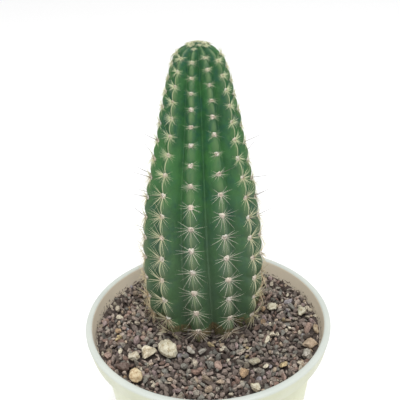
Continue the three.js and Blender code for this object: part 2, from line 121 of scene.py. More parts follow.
# Cactus: ribs
RIB_COUNT = 11
FIRST_RIB_DEG = -40.4
TWIST_DEG = -6.5
RIB_DEPTH = 0.25
CREST_ROUNDING = 0.35
NOTCH_ROUNDING = 0.12
BULGE = 0.125
BULGE_REACH = 0.8
RIBS_FADE_BELOW_RIM = (20, 9)

# Cactus: the m-th areole of a rib lies at this arc length above the rim's level, along the crest
AREOLE_START = 1.2
AREOLE_SPACING = 11.6
AREOLE_CLOSING = (0.083, 0.0079)
STEADY_FROM = 12
RIB_PHASES = (0.3, 0, 0.51, -0.11, 0.26, -0.18, 0.27, -0.2, 0.3, 0.2, 0.68)
PHASE_FADE = 2.5
FIRST_ROW = -2
LAST_ROW = 15.4
FIRST_AREOLE = -1
LAST_AREOLE = 15
AREOLE_CLEAR_OF_GRAVEL = 2

# Cactus: mesh of the skin
COLUMNS_PER_RIB = 20
ROWS_PER_AREOLE = 20
BURIED_ARCS = (3, 30, 3)
APEX_ARC_STEP = 0.5

# Cactus: how clearly a pale line of painted highlight shows on each crest, and painted light in the valley
# after it
CREST_LINES = (1, 0.25, 0.2, 1, 0.7, 0.5, 0.3, 0.6, 0.4, 0.7, 0.8)
VALLEY_LINES = (0, 1, 0.3, 0.1, 0.2, 0.6, 0, 0.3, 0.6, 0, 0.3)
FAINT_LINE = 0.3
FAINT_LINE_HEIGHT = (66, 84)

# Cactus: cork at the foot lies mostly in the valley in front
CORK_TURN = 1.5
CORK_WIDTH = 0.35
CORK_HEIGHT = 13

# Spines: turn about the areole from the right-hand side round to the top, lift off the skin, and
# length as a share of the usual one. The solid has the first six, and the fine ones stand between them.
SPINES = ((12, 12, 1), (58, 24, 0.8), (142, 18, 0.9), (192, 12, 1), (240, 24, 1.1), (305, 20, 1.1))
FINE_SPINES = (
    (-12, 16, 0.9), (34, 18, 0.75), (168, 14, 0.95), (217, 18, 1), (262, 20, 1), (283, 16, 0.85),
    (332, 16, 1),
)
FINE_SHARE = 0.92
FINE_RADII = (0.75, 1)
FINE_BOWS = (0, 0.1)
SPINE_BOW = 0.06
SPINE_BASE = 0.45
SPINE_SHARE = 0.62
SPINE_CLEAR_OF_GRAVEL = 2
SPINE_RADIUS = 0.106
YOUNG_SPINE_RADIUS = 0.08
OLD_SPINE_RADIUS = 0.14
SPINE_TAPER = 0.85
SPINE_STRETCH = 1.24
OLD_STRETCH = 1.15
YOUNG_ROWS = (6, 8)
# On the ribs in front the spines have this share of their length, by the areole's number. The ribs at
# the sides keep most of it.
FRONT_ROWS = (5.6, 7.4, 10.5, 13, 15)
FRONT_SHARES = (1, 0.5, 0.5, 0.62, 0.6)
SIDE_KEEPS = 0.8
# Near the top the spines in front are coloured much as at the sides
TOP_ROWS = (10.5, 13.5)
TOP_SIDE = 0.45
# Combed spines of young areoles, from this youth on. At the sides they are this much thicker. They also
# gain this share in length and width where they point away from the front, and lose it towards the front.
# On the ribs in front they have this share of their length.
COMB_FROM = 0.3
SIDE_COMB = 1.5
AWAY_GAIN = 0.2
FRONT_COMB = 0.8
# Each spine is darker by a share of its own, down to this
SPINE_SHADE = 0.7
YOUNG_SIDE_STRETCH = 0.72
# Young spines that point up or down along the rib are shorter by this share
YOUNG_SHORTENING = 0.5
# The last areoles have short spines that lie down over the apex, and shorter combs
LAST_STRETCH = 0.8
LAST_LIFT_DEG = -6
LAST_COMB = 0.55
# Ribs with a small tuft at the growing point, and its reach from the apex
TUFT_RIBS = (0, 2, 4, 6, 9)
TUFT_REACH = 2.2
TUFT_STRETCH = 0.35
# Ribs this far round from the front have paler and more yellow spines, and more of them
SIDE_DEG = (26, 46)
# As far round as this their further spines point away from the front, and beyond it all ways
TURNED_AWAY_DEG = 75
# Further spines of an areole: how many, and ranges for the turn, the lift, the length as a share of the
# usual one, the bow and the radius as a share of the usual one
YOUNG_EXTRA = (9, (-60, 40), (-14, 5), (0.55, 1), (0.12, 0.24), (0.55, 0.8))
SIDE_EXTRA = (9, (-75, 75), (4, 38), (0.8, 1.3), (0, 0.12), (0.7, 1))
ROUND_EXTRA = (9, (0, 360), (4, 38), (0.8, 1.3), (0, 0.12), (0.7, 1))
OLD_EXTRA = (3, (90, 450), (10, 48), (0.9, 1.25), (-0.05, 0.15), (0.7, 1))
OLD_AGE = 0.4
# Dried spines that hang about the lowest areoles
DRIED_EXTRA = (22, (160, 380), (-4, 26), (0.45, 1.05), (0, 0.3), (0.75, 1.05))
DRIED_HEIGHT = 12
DRIED_SHARES = (0.45, 1)
# How far the first areole, and the last one of each rib, have moved on towards the apex, in rows
FIRST_SHIFT = 0.2
LAST_SHIFTS = (0.3, 0, 0.42, 0.18, 0.45, 0.1, 0.4, 0, 0.48, 0.25, 0.4)
TURN_SPREAD_DEG = 12
FINE_SPREAD_DEG = 16.8
LIFT_SPREAD_DEG = 8
LENGTH_SPREAD = 0.3
CENTRAL_SPINE = 1
CENTRAL_EVERY = 3
CENTRAL_ROWS = range(4, 8)
CENTRAL_LIFT_DEG = 68
CENTRAL_LENGTH = (10, 15)
CENTRAL_RADIUS = 0.15
# Further central spines on the ribs at the sides
SIDE_CENTRAL_EVERY = 2
SIDE_CENTRAL_ROWS = range(3, 9)
SIDE_CENTRAL_TURN = (20, 160)
SIDE_CENTRAL_LIFT = (50, 78)
SIDE_CENTRAL_LENGTH = (8, 13)
SIDE_CENTRAL_BOW = 0.05

# Felt pads, with hairs whose lift is in radians and whose length is a share of the pad's size
PAD_SIDE = 1.3
PAD_TALLER = 1.1
PAD_RISE = 0.85
PAD_SIZES = (0.9, 1.1)
LEAST_PAD = 0.52
PAD_LUMPS = 0.13
PAD_HAIRS = 36
HAIR_RADIUS = 0.07
HAIR_LIFTS = (0.1, 1.3)
HAIR_LENGTHS = (0.45, 1)
HAIR_BASE = 0.8
YOUNG_PAD_ROWS = (11, 16)
LAST_PAD_SHARE = 0.82

# Larger stones, as the solids have them: kind, middle, length, width, height and turn in degrees. The
# rest is the seed of a stone's shape, how pink it is, and how much of its brightness it keeps.
PEBBLES = (
    ("cream", -19.4, -17.2, 11.8, 9.4, 7.2, 128, 300, 0, 0.84),
    ("cream", -28.6, -18.9, 8, 6.2, 5.4, 40, 301, 0.1, 0.97),
    ("cream", -35.3, -21.4, 5.6, 4.8, 3.8, 10, 302, 0.15, 0.74),
    ("tan", -33.3, -35.2, 8.6, 6.4, 5.2, 95, 303, 0, 0.86),
    ("grey", -8.7, -18.4, 6.2, 3.2, 2.8, 140, 304, 0, 1),
    ("grey", -3, -18.9, 5.6, 3.2, 2.8, 45, 305, 0, 0.72),
    ("cream", 19.3, -43.9, 6, 4.9, 4.2, 130, 306, 0, 0.85),
    ("cream", 33, 12.4, 6.2, 5.4, 5, 20, 307, 0, 0.74),
    ("cream", 47.6, 7.4, 6.2, 5.4, 4.6, 70, 308, 0, 0.66),
    ("tan", 47.8, -17.2, 7.8, 6.2, 5, 15, 350, 0.5, 0.66),
    ("grey", 45.4, -24.6, 6, 5.2, 4.8, 80, 310, 0, 1),
    ("tan", 52.6, -6.6, 6, 3, 4.2, 97, 311, 0.25, 0.55),
    ("cream", 20.3, -27.9, 6.2, 4.8, 3.6, 170, 312, 0, 0.56),
    ("red", -39.8, -28.6, 7, 6.4, 5.4, 165, 313, 0, 0.8),
)
PEBBLE_SUNK = 0.28
PEBBLE_CUTS = 12

# Smaller stones among the grit: middle, radius and tone, as in GRIT_TONES
SMALL_STONES = (
    (-47.6, -20.3, 2, 0.5), (-34.5, -9.1, 1.9, 0.88), (-23.4, -4.9, 1.6, 0.95), (-11.8, -22.2, 1.5, 0.68),
    (-11.8, -28.6, 1.6, 0.68), (1, -14.6, 1.5, 0.9225), (5.9, -18.4, 1.2, 0.95), (4.2, -29.3, 2, 0.5),
    (0.2, -28.6, 1.5, 0.68), (-6.6, -32.5, 1.7, 0.45), (15.5, -34.6, 2.1, 0.9075), (-0.6, -43.4, 1.8, 0.83),
    (28.4, 12.2, 1.5, 0.9075), (27.9, -12.2, 1.6, 0.99), (31.2, -9, 1.7, 0.99), (30.8, -0.5, 1, 0.99),
    (51.6, 0.2, 1.7, 0.88), (49, -5.2, 2.1, 0.5), (47.8, -10.9, 1.8, 0.05), (32.7, -3.7, 1.3, 0.45),
    (36.3, -8, 1.4, 0.68), (44.1, 2.4, 0.95, 0.95), (41.7, 16.9, 1.7, 0.915), (35.5, 32.6, 1.1, 0.95),
    (41.5, -30, 1.6, 0.95), (33.4, -30, 1.9, 0.9225), (25.6, -30.6, 1.2, 0.99), (-33, -14.2, 1.3, 0.95),
    (-52, 3.6, 1.5, 0.88), (-46.8, 15.5, 1.8, 0.95), (-35.4, 3.8, 1.5, 0.95),
)

# Studio, in metres and watts
FLOOR_RADIUS = 4
FLOOR_STEPS = 64
WORLD_STRENGTH = 0.93
LIGHT_PLACE = (0.05, -0.55, 1.35)
LIGHT_AIM = (0, 0, 0.12)
LIGHT_SIZE = 0.5
LIGHT_POWER = 11

# Seeds of the random draws. The first placed the solid's spines.
SOLID_SEED = 11
SPINE_SEED = 23
SHADE_SEED = 29
FELT_SEED = 5
GRAIN_SEED = 41

MASK = 0xFFFFFFFF


def smooth(low, high, value):
    t = np.clip((value - low) / (high - low), 0, 1)
    return t * t * (3 - 2 * t)


def lerp(a, b, share):
    return a + (b - a) * share


def unit(vectors):
    return vectors / np.linalg.norm(vectors, axis=-1, keepdims=True)


def round_turn(steps):
    """Angles that part a full turn into equal steps."""
    return np.arange(steps) * 2 * math.pi / steps


def circle(radius, height, steps):
    """Points on a circle about Z."""
    angles = round_turn(steps)
    return np.stack([radius * np.cos(angles), radius * np.sin(angles), np.full(steps, height)], 1)


class Draws:
    """A seeded stream of numbers from 0 to 1, the one that placed the solid's spines."""

    def __init__(self, seed):
        self.state = seed

    def __call__(self):
        self.state = (self.state + 0x6D2B79F5) & MASK
        t = self.state
        t = ((t ^ (t >> 15)) * (t | 1)) & MASK
        t ^= (t + (((t ^ (t >> 7)) * (t | 61)) & MASK)) & MASK
        return (t ^ (t >> 14)) / (MASK + 1)


# Materials


class Look:
    """A procedural material, with short ways to add and join its nodes."""

    def __init__(self, name):
        self.material = bpy.data.materials.new(name)
        self.material.use_nodes = True
        self.tree = self.material.node_tree

    def put(self, node, inputs):
        """Sets a node's inputs, or joins them to other nodes. A name stands for a value at the points."""
        for key, value in inputs.items():
            socket = node.inputs[key]
            if isinstance(value, str):
                value = self.add("Attribute", "Fac", {}, attribute_name=value)
            if isinstance(value, bpy.types.NodeSocket):
                self.tree.links.new(value, socket)
            elif isinstance(value, tuple) and socket.type == "RGBA":
                socket.default_value = (*value, 1)
            else:
                socket.default_value = value

    def add(self, kind, output, inputs, **settings):
        """Adds a node with these inputs and settings, and gives one of its outputs."""
        node = self.tree.nodes.new(f"ShaderNode{kind}")
        for key, value in settings.items():
            setattr(node, key, value)
        self.put(node, inputs)
        return node.outputs[output]

    def place(self, stretch=(1, 1, 1)):
        """The point on the surface in the frame, in metres, with each axis stretched."""
        point = self.add("TexCoord", "Object", {})
        return self.add("Mapping", "Vector", {"Vector": point, "Scale": stretch})

    def noise(self, size, detail=3, roughness=0.55, stretch=(1, 1, 1)):
        """Soft noise from 0 to 1 with lumps of about this size in millimetres."""
        inputs = {"Vector": self.place(stretch), "Scale": 1 / (size * MM)}
        return self.add("TexNoise", "Fac", {**inputs, "Detail": detail, "Roughness": roughness})

    def specks(self, size):
        """Distance to the middle of the nearest cell, for pores and specks."""
        return self.add("TexVoronoi", "Distance", {"Vector": self.place(), "Scale": 1 / (size * MM)})

    def height(self):
        """Height in the frame, in millimetres."""
        return self.math("DIVIDE", self.add("SeparateXYZ", "Z", {"Vector": self.place()}), MM)

    def math(self, operation, a, b):
        return self.add("Math", "Value", {0: a, 1: b}, operation=operation)

    def sum(self, *values):
        return reduce(lambda a, b: self.math("ADD", a, b), values)

    def product(self, *values):
        return reduce(lambda a, b: self.math("MULTIPLY", a, b), values)

    def span(self, value, low, high, start=0.0, end=1.0):
        """A soft step from start to end as the value goes from low to high."""
        inputs = {"Value": value, "From Min": low, "From Max": high, "To Min": start, "To Max": end}
        return self.add("MapRange", "Result", inputs, interpolation_type="SMOOTHSTEP")

    def mix(self, factor, a, b, blend="MIX"):
        return self.add("Mix", 2, {0: factor, 6: a, 7: b}, data_type="RGBA", blend_type=blend)

    def layers(self, colour, *covers):
        """The colour with others laid over it in turn, each by its share."""
        for share, other in covers:
            colour = self.mix(share, colour, other)
        return colour

    def dimmed(self, colour, share):
        """The colour with this share of its brightness, up to all of it."""
        return self.mix(1.0, colour, self.mix(share, (0, 0, 0), (1, 1, 1)), "MULTIPLY")

    def ramp(self, factor, *stops, interpolation="LINEAR"):
        node = self.tree.nodes.new("ShaderNodeValToRGB")
        node.color_ramp.interpolation = interpolation
        elements = node.color_ramp.elements
        while len(elements) < len(stops):
            elements.new(0.5)
        for element, (position, colour) in zip(elements, stops):
            element.position = position
            element.color = (*colour, 1)
        self.put(node, {"Fac": factor})
        return node.outputs["Color"]

    def finish(self, colour, roughness, specular, relief=0.0, depth=0.0, strength=1.0, **more):
        """The material, once its shader has these values and a bump of this depth in millimetres."""
        bump = {"Height": relief, "Distance": depth * MM, "Strength": strength}
        values = {"Base Color": colour, "Roughness": roughness, "Specular IOR Level": specular, **more}
        if depth > 0:
            values["Normal"] = self.add("Bump", "Normal", bump)
        self.put(self.tree.nodes["Principled BSDF"], values)
        return self.material


def pot_look():
    look = Look("pot_plastic")
    height = look.height()
    cloud = look.noise(30, 2)
    lip_foot = POT_HEIGHT - LIP_HEIGHT
    body = look.layers(
        (0.51, 0.527, 0.385),
        # The rim's top is cooler: painted reflection of the bright surroundings on its upper face
        (look.span(height, POT_HEIGHT - 2.2, POT_HEIGHT - 0.4), (0.495, 0.528, 0.49)),
        # Down from the lip the body turns yellow-green: painted glow of light through the plastic
        (look.span(height, lip_foot - 1, lip_foot - 20, 0, 0.8), (0.6, 0.62, 0.41)),
        (look.span(cloud, 0.3, 0.7, 0, 0.3), (0.68, 0.7, 0.62)),
    )
    # The inner wall is warmer and paler than the outside: painted light that shines through the thin wall,
    # with painted warm bounce from the grit
    inner = look.mix(cloud, (0.7, 0.615, 0.485), (0.735, 0.655, 0.535))
    crumbs = look.sum(look.noise(1.6, 3, 0.6), look.span(height, LEVEL + 6, LEVEL, -0.4, -0.05))
    inner = look.mix(look.span(crumbs, 0.48, 0.56), inner, (0.16, 0.115, 0.09))
    colour = look.mix("inside", body, inner)
    scuffs = look.span(look.noise(6, 5, 0.7, (1, 1, 0.2)), 0.3, 0.7, 0.36, 0.5)
    relief = look.sum(look.noise(0.5, 2), look.product(look.noise(14, 2), 3))
    coat = {"Coat Weight": 0.06, "Coat Roughness": 0.25}
    return look.finish(colour, scuffs, 0.4, relief, 0.04, 0.35, **coat)


def soil_look():
    look = Look("potting_mix")
    crumbs = look.noise(2.2, 6, 0.7)
    dark = look.mix(crumbs, (0.012, 0.008, 0.005), (0.06, 0.04, 0.026))
    bits = look.span(look.specks(3), 0.12, 0.05)
    return look.finish(look.mix(bits, dark, (0.42, 0.38, 0.32)), 0.95, 0.2, crumbs, 1.2)


def bed_look():
    look = Look("fine_grit")
    crumbs = look.noise(1.1, 5, 0.65)
    # Dark, partly as painted shade in the gaps between the grains
    return look.finish(look.mix(crumbs, (0.03, 0.023, 0.02), (0.13, 0.102, 0.09)), 0.95, 0.2, crumbs, 0.6)


GRIT_TONES = (
    (0, (0.118, 0.094, 0.078)), (0.1, (0.215, 0.177, 0.153)), (0.26, (0.355, 0.286, 0.245)),
    (0.42, (0.3, 0.2, 0.16)), (0.48, (0.435, 0.31, 0.255)), (0.52, (0.505, 0.42, 0.352)),
    (0.64, (0.262, 0.257, 0.224)), (0.72, (0.385, 0.352, 0.292)), (0.8, (0.515, 0.41, 0.302)),
    (0.86, (0.395, 0.304, 0.287)), (0.905, (0.48, 0.336, 0.205)), (0.91, (0.39, 0.362, 0.375)),
    (0.92, (0.63, 0.504, 0.285)), (0.925, (0.58, 0.514, 0.402)), (0.98, (0.76, 0.69, 0.535)),
)


def grit_look():
    look = Look("volcanic_grit")
    tone = look.ramp("tone", *GRIT_TONES, interpolation="CONSTANT")
    # Each grain's own brightness, times a share by its place that holds painted shadow in front of the stem
    shade = look.product(look.span("shade", 0, 1, 0.45, 1.55), "lightness")
    shaded = look.dimmed(tone, shade)
    grain = look.noise(0.8, 4, 0.7)
    pores = look.span(look.specks(0.8), 0.26, 0.12)
    mottled = look.mix(look.span(grain, 0.36, 0.6), look.mix(0.55, shaded, (0.07, 0.05, 0.045)), shaded)
    colour = look.mix(look.product(pores, 0.5), mottled, (0.06, 0.045, 0.04))
    roughness = look.span(grain, 0.3, 0.7, 0.75, 0.95)
    return look.finish(colour, roughness, 0.25, look.math("SUBTRACT", grain, pores), 0.35)


STONE_COLOURS = {
    "cream": ((0.62, 0.56, 0.41), (0.8, 0.76, 0.6), (0.38, 0.3, 0.17)),
    "tan": ((0.62, 0.48, 0.29), (0.76, 0.64, 0.43), (0.42, 0.27, 0.14)),
    "grey": ((0.3, 0.28, 0.235), (0.48, 0.45, 0.395), (0.17, 0.145, 0.11)),
    "red": ((0.15, 0.11, 0.09), (0.23, 0.175, 0.15), (0.12, 0.055, 0.045)),
}


def stone_look(kind):
    look = Look(f"stone_{kind}")
    base, light, stain = STONE_COLOURS[kind]
    cloud = look.noise(2.2, 4, 0.65)
    pits = look.span(look.specks(0.9), 0.24, 0.08)
    colour = look.layers(
        base,
        (look.span(cloud, 0.38, 0.62), light),
        (look.span(look.noise(1.5, 5, 0.7), 0.5, 0.6, 0, 0.75), stain),
        ("pink", look.mix(cloud, (0.56, 0.39, 0.3), (0.84, 0.69, 0.58))),
        (look.product(pits, 0.5), stain),
    )
    relief = look.math("SUBTRACT", look.noise(0.9, 5, 0.65), pits)
    roughness = look.span(cloud, 0.3, 0.7, 0.6, 0.85)
    return look.finish(look.dimmed(colour, "shade"), roughness, 0.3, relief, 0.3)


def stem_look():
    look = Look("cactus_skin")
    streaks = look.noise(2.6, 3, 0.6, (1, 1, 0.16))
    mottle = look.noise(1.3, 4, 0.65)
    patches = look.span(look.noise(6, 3), 0.35, 0.6)
    band = look.product(look.span("above", 64, 74), look.span("above", 106, 94))
    near = look.product(look.span("crest", 0.44, 0.08), look.span("notch", 0, 0.4, 0.45, 0.75))
    # The crest's colour: the skin's own grey with painted highlight, lighter at the top as painted light
    # over the spines' shadows
    crest_tint_and_highlight = look.mix(look.span("above", 104, 116), (0.092, 0.166, 0.06), (0.14, 0.205, 0.09))
    crest_tint_and_highlight = look.mix(look.span("above", 100, 30), crest_tint_and_highlight, (0.15, 0.18, 0.112))
    # Where the pale line of painted highlight lies along a crest
    lightness = look.product(look.span("crest", 0.05, 0.014), look.span("notch", 0.05, 0.16), "line")
    skin = look.layers(
        look.mix(look.span(look.noise(16, 3), 0.35, 0.65), (0.026, 0.095, 0.036), (0.038, 0.138, 0.04)),
        (look.span(look.noise(5, 4, 0.6), 0.46, 0.62, 0, 0.75), (0.02, 0.086, 0.054)),
        (look.span(streaks, 0.45, 0.7, 0, 0.35), (0.07, 0.17, 0.055)),
        (look.span(mottle, 0.35, 0.6, 0.36, 0), (0.014, 0.044, 0.024)),
        # A lighter band in the upper half, and dust low on the plant
        (look.product(band, look.span(look.noise(9, 3), 0.35, 0.6), 0.5), (0.055, 0.175, 0.045)),
        (look.span("above", 105, 5, 0, 0.57), (0.088, 0.13, 0.073)),
        # Greyer and paler towards the crest, more so half-way between two areoles: partly the skin's own
        # grey, partly painted highlight, and near the top painted light over the spines' shadows
        (look.product(near, look.span(streaks, 0.3, 0.6, 0.35, 1), 0.85), crest_tint_and_highlight),
        # A pale line of painted highlight on a crest, and painted light that lifts the shade in a valley
        (look.product(lightness, look.span("above", 132, 118), 0.85), (0.46, 0.47, 0.28)),
        (look.product(look.span("crest", 0.4, 0.9), "valley_light", patches, look.span("above", 80, 62), 0.12),
         (0.105, 0.18, 0.11)),
        # Lighter and greyer towards the valleys low on the plant: painted light that lifts the valleys'
        # shade
        (look.product(look.span("crest", 0.5, 1), look.span("above", 75, 15), 0.5), (0.085, 0.135, 0.08)),
    )
    cork = look.span(look.sum("cork", look.noise(2.4, 4, 0.7)), 0.95, 1.25, 0, 0.92)
    bark = look.layers(
        (0.05, 0.04, 0.022),
        (look.span(look.noise(1.2, 4, 0.7), 0.35, 0.65), (0.185, 0.135, 0.065)),
        (look.span(look.noise(3, 3), 0.45, 0.6, 0, 0.7), (0.115, 0.125, 0.055)),
    )
    roughness = look.math("MAXIMUM", look.span(streaks, 0.2, 0.8, 0.38, 0.52), look.product(cork, 0.85))
    relief = look.sum(look.product(look.noise(0.35, 3, 0.6), 0.3), look.product(mottle, 0.8), streaks, cork)
    return look.finish(look.mix(cork, skin, bark), roughness, 0.22, relief, 0.16, 0.6)


def felt_look():
    look = Look("areole_felt")
    wool = look.noise(0.5, 4, 0.7)
    outer = look.mix("tone", (0.7, 0.62, 0.51), (0.7, 0.69, 0.61))
    outer = look.mix("young", outer, look.mix("tone", (0.5, 0.5, 0.33), (0.46, 0.56, 0.36)))
    centre = look.mix("tone", (0.54, 0.37, 0.29), (0.58, 0.49, 0.42))
    centre = look.mix("young", centre, (0.42, 0.42, 0.26))
    colour = look.mix(look.span("rim", 0, 0.45), centre, outer)
    colour = look.mix(look.span(wool, 0.4, 0.49), look.mix(0.75, colour, (0.13, 0.07, 0.05)), colour)
    return look.finish(colour, 0.95, 0.2, wool, 0.35, **{"Sheen Weight": 0.3})


def spine_look():
    look = Look("radial_spine")
    straw = look.ramp("tip", (0, (0.42, 0.27, 0.19)), (0.2, (0.74, 0.69, 0.57)), (1, (0.66, 0.65, 0.54)))
    yellow = look.ramp("tip", (0, (0.46, 0.34, 0.18)), (0.2, (0.77, 0.73, 0.48)), (1, (0.69, 0.69, 0.43)))
    base, middle = (0, (0.22, 0.12, 0.07)), (0.2, (0.49, 0.44, 0.3))
    dull = look.ramp("tip", base, middle, (0.6, (0.38, 0.45, 0.29)), (1, (0.29, 0.4, 0.24)))
    bright = look.ramp("tip", (0, (0.28, 0.2, 0.11)), (0.2, (0.7, 0.74, 0.45)), (1, (0.6, 0.68, 0.42)))
    old = look.ramp("tip", (0, (0.5, 0.28, 0.11)), (0.3, (0.8, 0.6, 0.34)), (1, (0.92, 0.82, 0.6)))
    colour = look.layers(
        look.mix("side", straw, yellow),
        (look.product("young", 0.92), look.mix("side", dull, bright)),
        ("age", old),
        ("dried", look.mix(look.noise(2, 2), (0.085, 0.05, 0.028), (0.34, 0.22, 0.125))),
    )
    return look.finish(look.dimmed(colour, "shade"), 0.45, 0.4, look.noise(0.4, 3, 0.6, (1, 1, 0.3)), 0.03)


def central_look():
    look = Look("central_spine")
    grain = look.noise(1.2, 3)
    stops = (0, (0.26, 0.17, 0.12)), (0.25, (0.17, 0.15, 0.14)), (1, (0.06, 0.05, 0.05))
    dark = look.ramp("tip", *stops)
    return look.finish(look.mix(look.product(grain, 0.5), dark, (0.24, 0.21, 0.18)), 0.45, 0.45, grain, 0.03)


def floor_look():
    look = Look("studio_floor")
    grain = look.noise(4, 2)
    colour = look.mix(grain, (0.95, 0.95, 0.95), (0.97, 0.97, 0.97))
    return look.finish(colour, look.span(grain, 0.3, 0.7, 0.85, 0.95), 0.1)


# Meshes


def scene_object(name, data):
    """A new object in the scene, with this data."""
    made = bpy.data.objects.new(name, data)
    bpy.context.scene.collection.objects.link(made)
    return made


def mesh_object(name, points, faces):
    """A new mesh object in the scene, from points in millimetres."""
    mesh = bpy.data.meshes.new(name)
    mesh.from_pydata((np.asarray(points, float) * MM).tolist(), [], faces)
    return scene_object(name, mesh)


def dress(mesh, values, is_smooth=True):
    """Sets a mesh's shading, and the values at its points that its look reads."""
    for key, numbers in values.items():
        layer = mesh.attributes.new(key, "FLOAT", "POINT")
        layer.data.foreach_set("value", np.asarray(numbers, np.float32))
    mesh.polygons.foreach_set("use_smooth", [is_smooth] * len(mesh.polygons))


def piece(name, points, faces, material, nodes, values=None, is_smooth=True):
    """A mesh piece in the frame, on the object's one body, standing for the named solids."""
    made = mesh_object(name, points, faces)
    made.data.materials.append(material)
    dress(made.data, values or {}, is_smooth)
    made.data.update()
    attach(made, "root")
    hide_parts(*nodes)
    return made


def ball(steps):
    """Corners and faces of a round ball, from an icosahedron split this many times."""
    shape = bmesh.new()
    bmesh.ops.create_icosphere(shape, subdivisions=steps, radius=1)
    points = np.array([corner.co[:] for corner in shape.verts])
    faces = np.array([[corner.index for corner in face.verts] for face in shape.faces])
    shape.free()
    return points, faces


def copies(triangles, each, count):
    """The faces of a row of copies of one shape, which has this many points each."""
    starts = np.arange(count) * each
    return (starts[:, None, None] + np.array(triangles)[None]).reshape(-1, 3).tolist()


def ring_faces(rings, steps):
    """Faces between rings of points, closed by a first and a last single point."""
    faces = []
    last = 1 + (rings - 1) * steps
    for i in range(steps):
        j = (i + 1) % steps
        faces.append((0, 1 + j, 1 + i))
        for low in range(1, last, steps):
            high = low + steps
            faces.append((low + i, low + j, high + j, high + i))
        faces.append((last + i, last + j, last + steps))
    return faces


def turned(outline, steps):
    """A closed solid of revolution about Z from a half outline that starts and ends on the axis."""
    rings = [circle(radius, height, steps) for radius, height in outline[1:-1]]
    points = np.concatenate([[[0, 0, outline[0][1]]], *rings, [[0, 0, outline[-1][1]]]])
    return points, ring_faces(len(rings), steps)


def filleted(outline, arc_steps=5):
    """The outline with each corner that has a radius turned into an arc. Corners are (x, y, radius)."""
    corners = np.array([corner[:2] for corner in outline], float)
    result = [tuple(corners[0])]
    for i in range(1, len(outline) - 1):
        radius = outline[i][2]
        if radius == 0:
            result.append(tuple(corners[i]))
            continue
        back = corners[i - 1] - corners[i]
        ahead = corners[i + 1] - corners[i]
        back_length = np.linalg.norm(back)
        ahead_length = np.linalg.norm(ahead)
        back = back / back_length
        ahead = ahead / ahead_length
        half = math.acos(np.clip(back @ ahead, -1, 1)) / 2
        reach = min(radius / math.tan(half), 0.49 * back_length, 0.49 * ahead_length)
        for t in np.linspace(0, 1, arc_steps):
            p = corners[i] + back * reach * (1 - t) ** 2 + ahead * reach * t ** 2
            result.append(tuple(p))
    result.append(tuple(corners[-1]))
    return result


# Pot


def outer_radius(height):
    return lerp(FOOT_RADIUS, NECK_RADIUS, height / (POT_HEIGHT - LIP_HEIGHT))


def inner_radius(height):
    """Radius of the pot's inner wall, with the small ledge inside the lip."""
    heights = 0, LEDGE_HEIGHT, LEDGE_HEIGHT + LEDGE_RISE, POT_HEIGHT
    ledge = outer_radius(LEDGE_HEIGHT) - WALL
    return np.interp(height, heights, (FOOT_RADIUS - WALL, ledge, LEDGE_OUTER_RADIUS, RIM_INNER_RADIUS))


def pot_outline():
    lip_foot = POT_HEIGHT - LIP_HEIGHT
    ring_inner = FOOT_RADIUS - FOOT_RING_WIDTH
    return filleted((
        (0, FOOT_RING_HEIGHT, 0),
        (DRAIN_CIRCLE - 2 * DRAIN_RADIUS, FOOT_RING_HEIGHT, 0),
        (DRAIN_CIRCLE + 2 * DRAIN_RADIUS, FOOT_RING_HEIGHT, 0),
        (ring_inner - 0.3, FOOT_RING_HEIGHT, 0.6),
        (ring_inner, 0, 0.5),
        (FOOT_RADIUS, 0, 1.4),
        (outer_radius(lip_foot * 0.33), lip_foot * 0.33, 0),
        (outer_radius(lip_foot * 0.66), lip_foot * 0.66, 0),
        (NECK_RADIUS, lip_foot, 1.2),
        (RIM_RADIUS - LIP_DRAFT, lip_foot, 0.9),
        (RIM_RADIUS, POT_HEIGHT, 1.3),
        (RIM_INNER_RADIUS, POT_HEIGHT, 1.3),
        (LEDGE_OUTER_RADIUS, LEDGE_HEIGHT + LEDGE_RISE, 0.5),
        (inner_radius(LEDGE_HEIGHT), LEDGE_HEIGHT, 0.5),
        (inner_radius(FLOOR_TOP), FLOOR_TOP, 2),
        (DRAIN_CIRCLE + 2 * DRAIN_RADIUS, FLOOR_TOP, 0),
        (DRAIN_CIRCLE - 2 * DRAIN_RADIUS, FLOOR_TOP, 0),
        (0, FLOOR_TOP, 0),
    ))


def drain_cutter():
    """The rods that cut the drain holes: a ring of them and one in the middle."""
    rod, faces = turned(((0, -5), (DRAIN_RADIUS, -5), (DRAIN_RADIUS, 10), (0, 10)), DRAIN_STEPS)
    middles = [*circle(DRAIN_CIRCLE, 0, DRAIN_COUNT), (0, 0, 0)]
    points = np.concatenate([rod + middle for middle in middles])
    all_faces = [[len(rod) * i + k for k in face] for i in range(len(middles)) for face in faces]
    return mesh_object("drain_cutter", points, all_faces)


def is_inside(corner):
    """Whether a corner of the pot's mesh lies on its inner wall, from the floor to just below the rim."""
    height = corner.z / MM
    if height <= FLOOR_TOP - 0.1 or height >= POT_HEIGHT - INSIDE_BELOW_RIM:
        return False
    return math.hypot(corner.x, corner.y) / MM < inner_radius(height) + INSIDE_MARGIN


def make_pot():
    points, faces = turned(pot_outline(), POT_STEPS)
    pot = piece("pot_shell", points, faces, pot_look(), ["pot"])
    cutter = drain_cutter()
    cut = pot.modifiers.new("drain", "BOOLEAN")
    cut.object = cutter
    cut.solver = "EXACT"
    depsgraph = bpy.context.evaluated_depsgraph_get()
    mesh = bpy.data.meshes.new_from_object(pot.evaluated_get(depsgraph))
    pot.modifiers.clear()
    pot.data = mesh
    bpy.data.objects.remove(cutter)
    dress(mesh, {"inside": [is_inside(corner.co) for corner in mesh.vertices]})
    mesh.set_sharp_from_angle(angle=math.radians(SHARP_FROM_DEG))


# Cactus: the crest's line, read by arc length


